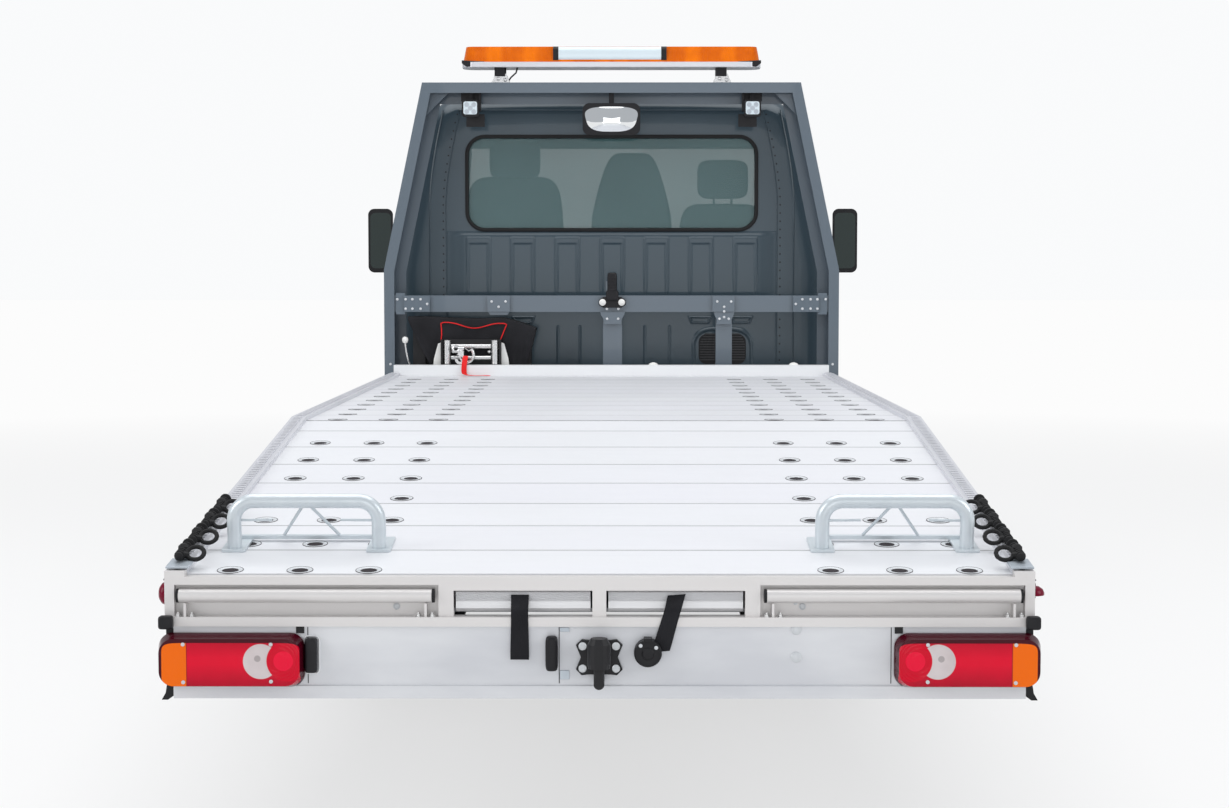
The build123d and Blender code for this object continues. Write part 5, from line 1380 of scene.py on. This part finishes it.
class TransporterCabBack(bpy.types.Operator):
    """Window gasket, rear end and roof of the cab, pressed panel, creases, spot welds and the vent."""

    bl_idname = "transporter.cab_back"
    bl_label = "Cab rear wall"

    def execute(self, context):
        wall = cab_back_y
        gasket_path = rounded_outline(*window_size, 0.088, 12)
        path = np.column_stack([gasket_path[:, 0], np.full(len(gasket_path), wall - 0.003),
                                gasket_path[:, 1] + window_z])
        tube(path, 0.0095, 8, closed=True).build("window_gasket", "rubber")
        self.surround(wall)
        self.pressings(wall)
        self.creases(wall)
        louvres = Form()
        for z in np.linspace(1.022, 1.15, 11):
            half = 0.112 * (1 - 0.3 * np.clip((z - 1.09) / 0.07, 0, 1) ** 2)
            louvres.copies(bar((vent_x - half, wall - 0.0085, z - 0.003),
                               (vent_x + half, wall - 0.003, z + 0.003)))
        louvres.build("vent_louvres", "interior", smooth=False)
        return {"FINISHED"}

    def surround(self, wall):
        """Flanged rear end and crowned roof of the cab: a wide outline blended into the solid's going ahead.

        Wide outline and solid outline have the same number of points; a share says how far each point is out.
        """
        wide = np.array([(1.035, 0.62), (1.035, 1.25), (1.032, 1.5), (0.995, 1.74), (0.944, 2.076),
                         (0.94, 2.1),
                         (0.92, 2.19), (0.895, 2.275), (0.85, 2.312), (0.775, 2.345), (0.4, 2.355),
                         (0.0, 2.357)])
        solid = np.array([(1.025, 0.62), (1.025, 1.15), (0.9947, 1.42), (0.97, 1.64), (0.9036, 2.076),
                          (0.9, 2.1),
                          (0.878, 2.16), (0.855, 2.215), (0.818, 2.242), (0.779, 2.27), (0.4, 2.27),
                          (0.0, 2.27)])
        upper = np.clip((wide[:, 1] - 2.06) / 0.12, 0, 1)

        def outline(ahead, inset=0.0):
            """Outline at a distance ahead of the wall, from the left foot over the roof to the right one."""
            side = 1 - np.clip((ahead - 0.03) / 0.062, 0, 1)
            top = 1 - np.clip((ahead - 0.52) / 0.38, 0, 1)
            top = top * top * (3 - 2 * top)
            share = (side + (top - side) * upper)[:, None]
            points = solid + (wide - solid) * share
            crown = np.interp(ahead, (0.0, 0.06, 0.42, 0.76, 0.91), (-0.08, -0.022, 0.0, -0.012, -0.062))
            points = points + (0.0022, 0.0022) + (0, crown) * np.clip(points[:, 1:] - 2.16, 0, 0.1) / 0.1
            points = points * (1 - inset, 1) - (0, inset) * upper[:, None]
            x, z = points[:, 0], points[:, 1]
            return np.column_stack([np.concatenate([-x, x[-2::-1]]), np.full(2 * len(x) - 1, wall + ahead),
                                    np.concatenate([z, z[-2::-1]])])

        flange = outline(0.0, 0.09) + (0, -0.0006, 0)
        rows = [flange, outline(0.0, 0.01) + (0, -0.0006, 0), outline(0.003, 0.004), outline(0.01)]
        rows += [outline(t) for t in (0.03, 0.05, 0.07, 0.085, 0.0945)]
        rear_end = Form().grid(np.stack(rows)[::-1])
        rear_end.build("cab_rear_end", "paint")
        roof = np.stack([outline(t)[4:-4] for t in np.linspace(0.0945, 0.9, 24)])
        skirt = roof[-1:] + (0, 0.002, -0.02)
        Form().grid(np.concatenate([roof, skirt])[::-1]).build("cab_roof", "paint")

    def pressings(self, wall):
        """Height over x and z: seven pockets, trapezoids, upright lines and a raised ring about the vent.

        Each is a product of soft steps; the panel stands just proud of the wall and runs out at its edges.
        """
        x = np.linspace(-0.822, 0.822, 470)[None, :]
        z = np.linspace(0.985, 1.663, 200)[:, None]

        def step(value, soft):
            """Smooth step from 0 to 1 across a soft width."""
            t = np.clip(value / soft + 0.5, 0, 1)
            return t * t * (3 - 2 * t)

        def pad(centre, half, low, high, soft=0.006, taper=0.0):
            """Soft rectangle; with a taper it narrows downward."""
            width = half - taper * (high - z)
            return step(width - np.abs(x - centre), soft) * step(z - low, soft) * step(high - z, soft)

        height = 0.0 * x + 0.0 * z
        fade = step(z - 1.4, 0.2)
        for centre in (-0.663, -0.443, -0.221, 0.0025, 0.2215, 0.4435, 0.6655):
            height = height + 0.0052 * pad(centre, 0.06, 1.2, 1.632, 0.008) * fade
            height = height - 0.005 * pad(centre, 0.047, 1.2, 1.6, 0.01) * fade
        for centre in (-0.44, 0.44, 0.645):
            height = height + 0.0055 * pad(centre, 0.058, 1.205, 1.238, 0.006, taper=0.45)
            height = height - 0.005 * pad(centre, 0.047, 1.211, 1.232, 0.006, taper=0.45)
        for centre in (-0.268, -0.158, 0.165, 0.288):
            height = height + 0.0032 * pad(centre, 0.004, 1.000, 1.19, 0.005)
        radial = np.sqrt((np.abs(x - vent_x) / 0.15) ** 4 + (np.clip(z - 1.09, 0, 1) / 0.092) ** 2 + 0 * z)
        ring = step(1.0 - radial, 0.12)
        hollow = step(0.86 - radial, 0.1)
        height = height + 0.0065 * (ring - hollow)
        raised = step(0.772 - np.abs(x), 0.08) * step(z - 1.325, 0.08) * step(1.6475 - z, 0.026)
        edge = step(0.82 - np.abs(x), 0.006) * step(z - 0.988, 0.006) * step(1.661 - z, 0.006)
        y = wall - 0.0004 - (0.0012 + 0.009 * raised + np.maximum(height, -0.0008 - 0.008 * raised)) * edge
        front = np.stack([x + 0 * z, y, z + 0 * x], -1)
        form = Form().grid(front)
        form.build("wall_pressings", "paint")
        dark = Form()
        shade = rounded_outline(0.236, 0.15, 0.04, 8) + (vent_x, 1.075)
        dark.copies(plate(shade, wall - 0.0034, wall - 0.002))
        dark.build("vent_shade", "black_frame")

    def creases(self, wall):
        """A crease each side that leans in above the window's middle, with a row of small spot welds, drawn
        black as painted shade of the weld marks.
        """
        crease = Form()
        welds = Form()
        weld = lathe([(0.0042, 0), (0.0036, 0.0006), (0.001, 0.0009)], 8).turned(FACE_REAR)
        for side in (-1, 1):
            z = np.linspace(1.00, 2.262, 40)
            lean = 0.075 * np.clip((z - 1.8) / 0.45, 0, 1) ** 1.6
            line = np.column_stack([side * (0.8235 - lean), np.full(40, wall - 0.0006), z])
            crease.copies(tube(line, 0.0028, 8))
            line = np.column_stack([side * (0.905 - lean * 0.9), np.full(40, wall - 0.0003), z])
            crease.copies(tube(line, 0.004, 8))
            spots = np.linspace(1.02, 2.24, 31)
            shift = 0.075 * np.clip((spots - 1.8) / 0.45, 0, 1) ** 1.6
            welds.copies(weld,
                         np.column_stack([side * (0.8385 - shift), np.full(31, wall - 0.0002), spots]))
        top = np.column_stack([np.linspace(-0.76, 0.76, 40), np.full(40, wall - 0.0003),
                               np.full(40, 2.262)])
        crease.copies(tube(top, 0.004, 8))
        crease.build("wall_creases", "paint")
        # The spot welds are cab paint; their black is painted shade of the weld marks.
        welds.build("spot_weld_shades", "black_plastic", slot="cab_paint")


class TransporterSeats(bpy.types.Operator):
    """Padded cushions, backs and headrests on a moulded base."""

    bl_idname = "transporter.seats"
    bl_label = "Seats"

    def execute(self, context):
        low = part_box("seats")[0]
        self.seat_y = low.y
        places = (("driver", ((-0.5, 0.52, 1.945),), ((0, -0.495, 1.93),)),
                  ("bench", ((0.1, 0.46, 2.065), (0.56, 0.46, 1.807)), ((1, 0.565, 1.83),)))
        base = Form()
        for name, backs, heads in places:
            x0, x1 = backs[0][0] - backs[0][1] / 2, backs[-1][0] + backs[-1][1] / 2
            base.copies(bar((x0 + 0.04, self.seat_y + 0.06, low.z),
                            (x1 - 0.04, self.seat_y + 0.46, low.z + 0.389)))
            for index, (x, width, top) in enumerate(backs):
                self.pads(f"{name}_{index}", x, width, top)
            for index, x, foot in heads:
                self.headrest(f"{name}_head_{index}", x, 0.26, foot)
                for dx in (-0.045, 0.045):
                    base.copies(bar((x + dx - 0.006, self.seat_y + 0.044, 1.77),
                                    (x + dx + 0.006, self.seat_y + 0.056, foot + 0.02)))
        moulding = base.build("seat_base", "interior", slot="interior", bevel=0.006)
        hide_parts("seats")
        return {"FINISHED"}

    def pads(self, name, x, width, top):
        """Cushion and back of one place: crowned closed forms whose sides pull in between their corners."""
        y = self.seat_y
        cushion = pillow((x, y + 0.3, 1.04), (width / 2 - 0.004, 0.218, 0.07), 0.3, flat=0.45)
        points = np.concatenate(cushion.points)
        crown = 0.008 * np.cos(np.clip((points[:, 0] - x) / width * np.pi, -1.5, 1.5))
        points[:, 2] = np.minimum(points[:, 2] + crown * (points[:, 2] > 1.06), 1.112)
        cushion.points = [points]
        half = (top - 1.017) / 2
        back = pillow((x, 0, 0), (width / 2 - 0.004, 0.052, half), 0.34, rows=36, flat=0.3)
        points = np.concatenate(back.points)
        tall = points[:, 2] / half
        waist = 0.45 * np.clip((tall - 0.1) / 0.9, 0, 1) ** 1.3 if top > 2 else 0.07 * np.clip(tall, 0,
                                                                                               1) ** 2
        points[:, 0] = x + (points[:, 0] - x) * (1 - waist)
        hollow = np.exp(-((np.abs(points[:, 0] - x) / width * 2) / 0.5) ** 2)
        points[:, 1] += y + 0.088 - 0.022 * tall - 0.012 * hollow * (points[:, 1] > 0)
        points[:, 2] += 1.017 + half
        back.points = [points]
        for kind, form, fill in (("cushion", cushion, 0.7), ("back", back, 0.7)):
            pad = form.build(f"seat_{name}_{kind}", "seat_cloth")
            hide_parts("seats")

    def headrest(self, name, x, width, low):
        """Rounded headrest, fuller in the middle."""
        head = pillow((x, self.seat_y + 0.05, low + 0.1), (width / 2, 0.043, 0.099), 0.45, flat=0.42)
        pad = head.build(f"seat_{name}", "seat_cloth")
        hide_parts("seats")


class TransporterCabFront(bpy.types.Operator):
    """Door handles, side mouldings, wipers, grille bars, lamp reflectors and door glass seals."""

    bl_idname = "transporter.cab_front"
    bl_label = "Cab front and doors"

    def execute(self, context):
        for name, side in SIDES:
            path = np.array([(0, 0.0, 0.0), (0.018, 0.012, 0), (0.024, 0.05, 0), (0.024, 0.11, 0),
                             (0.018, 0.148, 0),
                             (0, 0.16, 0)]) * (side * 0.5, 1, 1)
            handle = tube(resample(path, 24) + (side * (half_cab - 0.006), 1.68, 1.15), 0.01, 12,
                          squash=(1.0, 1.3))
            handle.build("door_handle_" + name, "black_plastic", body="door_" + name)
            self.door_trim(name, side)
        self.screen()
        self.nose()
        return {"FINISHED"}

    @staticmethod
    def cab_half(z):
        """Half width of the cab at a height."""
        return np.interp(z, (0.2, 0.62, 1.15, 1.64, 2.1, 2.215), (0.995, 1.025, 1.025, 0.97, 0.9, 0.855))

    def door_trim(self, name, side):
        """Rubber round the door's window, and a black moulding along its lower half."""
        low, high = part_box("door_" + name)
        body = "door_" + name
        window = np.array([(low.y + 0.083, 1.303), (low.y + 0.083, 1.967), (high.y - 0.252, 1.967),
                           (high.y - 0.078, 1.768), (high.y - 0.078, 1.303)])
        ring = resample(window, 120, closed=True)
        path = np.column_stack([side * (self.cab_half(ring[:, 1]) + 0.0005), ring[:, 0], ring[:, 1]])
        tube(path, 0.0065, 8, closed=True).build("window_seal_" + name, "rubber", body=body)
        moulding = pillow((side * (half_cab + 0.001), (low.y + high.y) / 2, 0.8),
                          (0.011, (high.y - low.y) / 2 - 0.012, 0.055),
                          0.25, 14, 32, flat=0.2)
        moulding.build("door_moulding_" + name, "black_plastic", body=body)
        lock = lathe([(0.013, 0), (0.013, 0.003), (0.004, 0.004)],
                     20).turned(((0, 0, side), (0, 1, 0), (-side, 0, 0)))
        Form().copies(lock, (side * (half_cab - 0.001), low.y + 0.155, 1.085)).build(
            "door_lock_" + name, "bright_steel", body=body)

    def screen(self):
        """Rubber round the windscreen and two wipers: a point on the screen from its share of the height."""
        foot, head = np.array((3.2002, 1.29)), np.array((2.4102, 2.208))
        ahead = (foot - head) / np.linalg.norm(foot - head)
        out = np.array((-ahead[1], ahead[0]))

        def on_screen(x, z, height):
            """Place on the screen's plane at a width and a height, raised along the plane's normal."""
            share = (z - foot[1]) / (head[1] - foot[1])
            y = foot[0] + (head[0] - foot[0]) * share
            return np.column_stack([x + 0 * share, y + out[0] * height + 0 * x,
                                    z + out[1] * height + 0 * x])

        corners = np.array([(-0.885, 1.364), (0.885, 1.364), (0.775, 2.135), (-0.775, 2.135)])
        seal = tube(on_screen(*resample(corners, 160, closed=True).T, 0.001), 0.011, 8, closed=True)
        seal.build("screen_seal", "rubber")
        wipers = Form()
        for pivot, tip in ((-0.42, 0.1), (0.28, 0.8)):
            t = np.linspace(0, 1, 24)
            arm = on_screen(pivot + (tip - 0.22 - pivot) * t, 1.325 + 0.088 * t,
                            0.014 + 0.012 * np.sin(np.pi * t))
            wipers.copies(tube(arm, 0.0065, 8, squash=(1.0, 1.6)))
            blade = on_screen(tip - 0.55 + 0.6 * t, 1.398 + 0.018 * np.sin(np.pi * t), 0.01 + 0 * t)
            wipers.copies(tube(blade, 0.0055, 8, squash=(1.0, 1.5)))
            wipers.copies(pillow(tuple(on_screen(np.array([pivot]), np.array([1.325]), 0.01)[0]),
                                 (0.02, 0.02, 0.014)))
        wipers.build("wipers", "black_plastic")

    def nose(self):
        """Bright grille bars, and the headlamps."""
        grille_low, grille_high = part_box("front_grille")
        bars = Form()
        half = (grille_high.x - grille_low.x) / 2
        for z in np.linspace(grille_low.z + 0.03, grille_high.z - 0.03, 6):
            bars.copies(tube(np.column_stack([np.linspace(-half * 0.8, half * 0.8, 24),
                                              np.full(24, grille_high.y - 0.004),
                                              np.full(24, z)]), 0.0035, 8))
        bars.build("grille_bars", "bright_steel", slot="grille_plastic")
        self.lamps()

    def lamps(self):
        """Two bright dished discs on each headlamp, a dark ring round each, turned as the lens is in plan."""
        low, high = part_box("headlamps")
        bowls = Form()
        rings = Form()
        middle = (low.z + high.z) / 2 + 0.008
        for side in (-1, 1):
            for x, radius in ((high.x - 0.155, 0.05), (high.x - 0.275, 0.046)):
                plan_y = np.interp(x, (0.605, 0.785, 0.915, 0.989), (3.9002, 3.8402, 3.7002, 3.4802))
                turn = np.arctan2(np.interp(x + 0.02, (0.605, 0.785, 0.915),
                                            (3.9002, 3.8402, 3.7002)) - plan_y, 0.02)
                out = np.array((-math.sin(turn) * side, math.cos(turn), 0.0))
                across = np.array((out[1], -out[0], 0.0))
                frame_turn = np.column_stack([across, (0, 0, 1), out])
                place = (side * x, min(plan_y, 3.871) + 0.006, middle)
                cone = lathe([(radius, 0.0), (radius * 0.96, 0.001), (radius * 0.45, -0.004),
                              (0.008, -0.002)], 28)
                bowls.copies(cone.turned(frame_turn), place)
                hoop = lathe([(radius + 0.006, -0.003), (radius + 0.006, 0.003), (radius, 0.004),
                              (radius, -0.003)], 28)
                rings.copies(hoop.turned(frame_turn), place)
        bowls.build("lamp_bowls", "bright_steel", slot="lamp_glass")
        rings.build("lamp_rings", "black_plastic")


class TransporterWheels(bpy.types.Operator):
    """Tread blocks and nuts of the four wheels."""

    bl_idname = "transporter.wheels"
    bl_label = "Wheels"

    def execute(self, context):
        s = settings_of(context)
        for place in ("front", "rear"):
            for name, side in SIDES:
                self.wheel(place, name, side, s.tread)
        return {"FINISHED"}

    def wheel(self, place, name, side, depth):
        """Blocks stand in four rings round the tyre; the outer rings are turned half a step."""
        low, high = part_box(f"tyre_{place}_{name}")
        centre = (np.array(low) + np.array(high)) / 2
        radius = (high.z - low.z) / 2
        body = f"wheel_{place}_{name}"
        blocks = Form()
        count = 60
        for ring, x in enumerate((-0.068, -0.024, 0.024, 0.068)):
            block = bar((x - 0.018, -0.0125, radius - depth - 0.004), (x + 0.018, 0.0125, radius - 0.0015))
            for index in range(count):
                a = (index + 0.5 * (ring in (0, 3))) * 2 * math.pi / count
                turn = ((1, 0, 0), (0, math.cos(a), -math.sin(a)), (0, math.sin(a), math.cos(a)))
                blocks.copies(block.turned(turn), centre)
        blocks.build(f"tread_{place}_{name}", "rubber", body=body, slot="tyre", smooth=False)
        rim_low, rim_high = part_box(f"rim_{place}_{name}")
        out = rim_high.x if side > 0 else rim_low.x
        nuts = Form()
        nut = lathe([(0.011, -0.012), (0.011, 0.004), (0.008, 0.01), (0.002, 0.011)], 6)
        face = ((0, 0, side), (0, 1, 0), (-side, 0, 0))
        nut = nut.turned(face)
        for index in range(5):
            a = index * 2 * math.pi / 5 + 0.3
            nuts.copies(nut,
                        (out - side * 0.03, centre[1] + wheel_bolt_circle * math.cos(a),
                         centre[2] + wheel_bolt_circle * math.sin(a)))
        nuts.build(f"wheel_nuts_{place}_{name}", "bright_steel", body=body, slot="rim_steel")


class TransporterPanel(bpy.types.Panel):
    """Sidebar panel with the settings and the pieces."""

    bl_idname = "VIEW3D_PT_transporter"
    bl_label = "Transporter"
    bl_space_type = "VIEW_3D"
    bl_region_type = "UI"
    bl_category = "Transporter"

    def draw(self, context):
        for name in TransporterSettings.__annotations__:
            self.layout.prop(context.scene.transporter, name)
        for operator in OPERATORS:
            self.layout.operator(operator.bl_idname)


OPERATORS = (TransporterStage, TransporterFinishes, TransporterDeck, TransporterRear, TransporterStraps,
             TransporterWinch, TransporterHeadboard, TransporterBeacon, TransporterCabBack,
             TransporterSeats,
             TransporterCabFront, TransporterWheels)


def register():
    """Registers the settings, the operators and the panel."""
    for kind in (TransporterSettings, *OPERATORS, TransporterPanel):
        bpy.utils.register_class(kind)
    bpy.types.Scene.transporter = PointerProperty(type=TransporterSettings)


def unregister():
    """Removes them again."""
    del bpy.types.Scene.transporter
    for kind in (TransporterPanel, *reversed(OPERATORS), TransporterSettings):
        bpy.utils.unregister_class(kind)


def main():
    """Makes everything in order."""
    register()
    for operator in OPERATORS:
        group, name = operator.bl_idname.split(".")
        getattr(getattr(bpy.ops, group), name)()


if __name__ == "__main__":
    main()
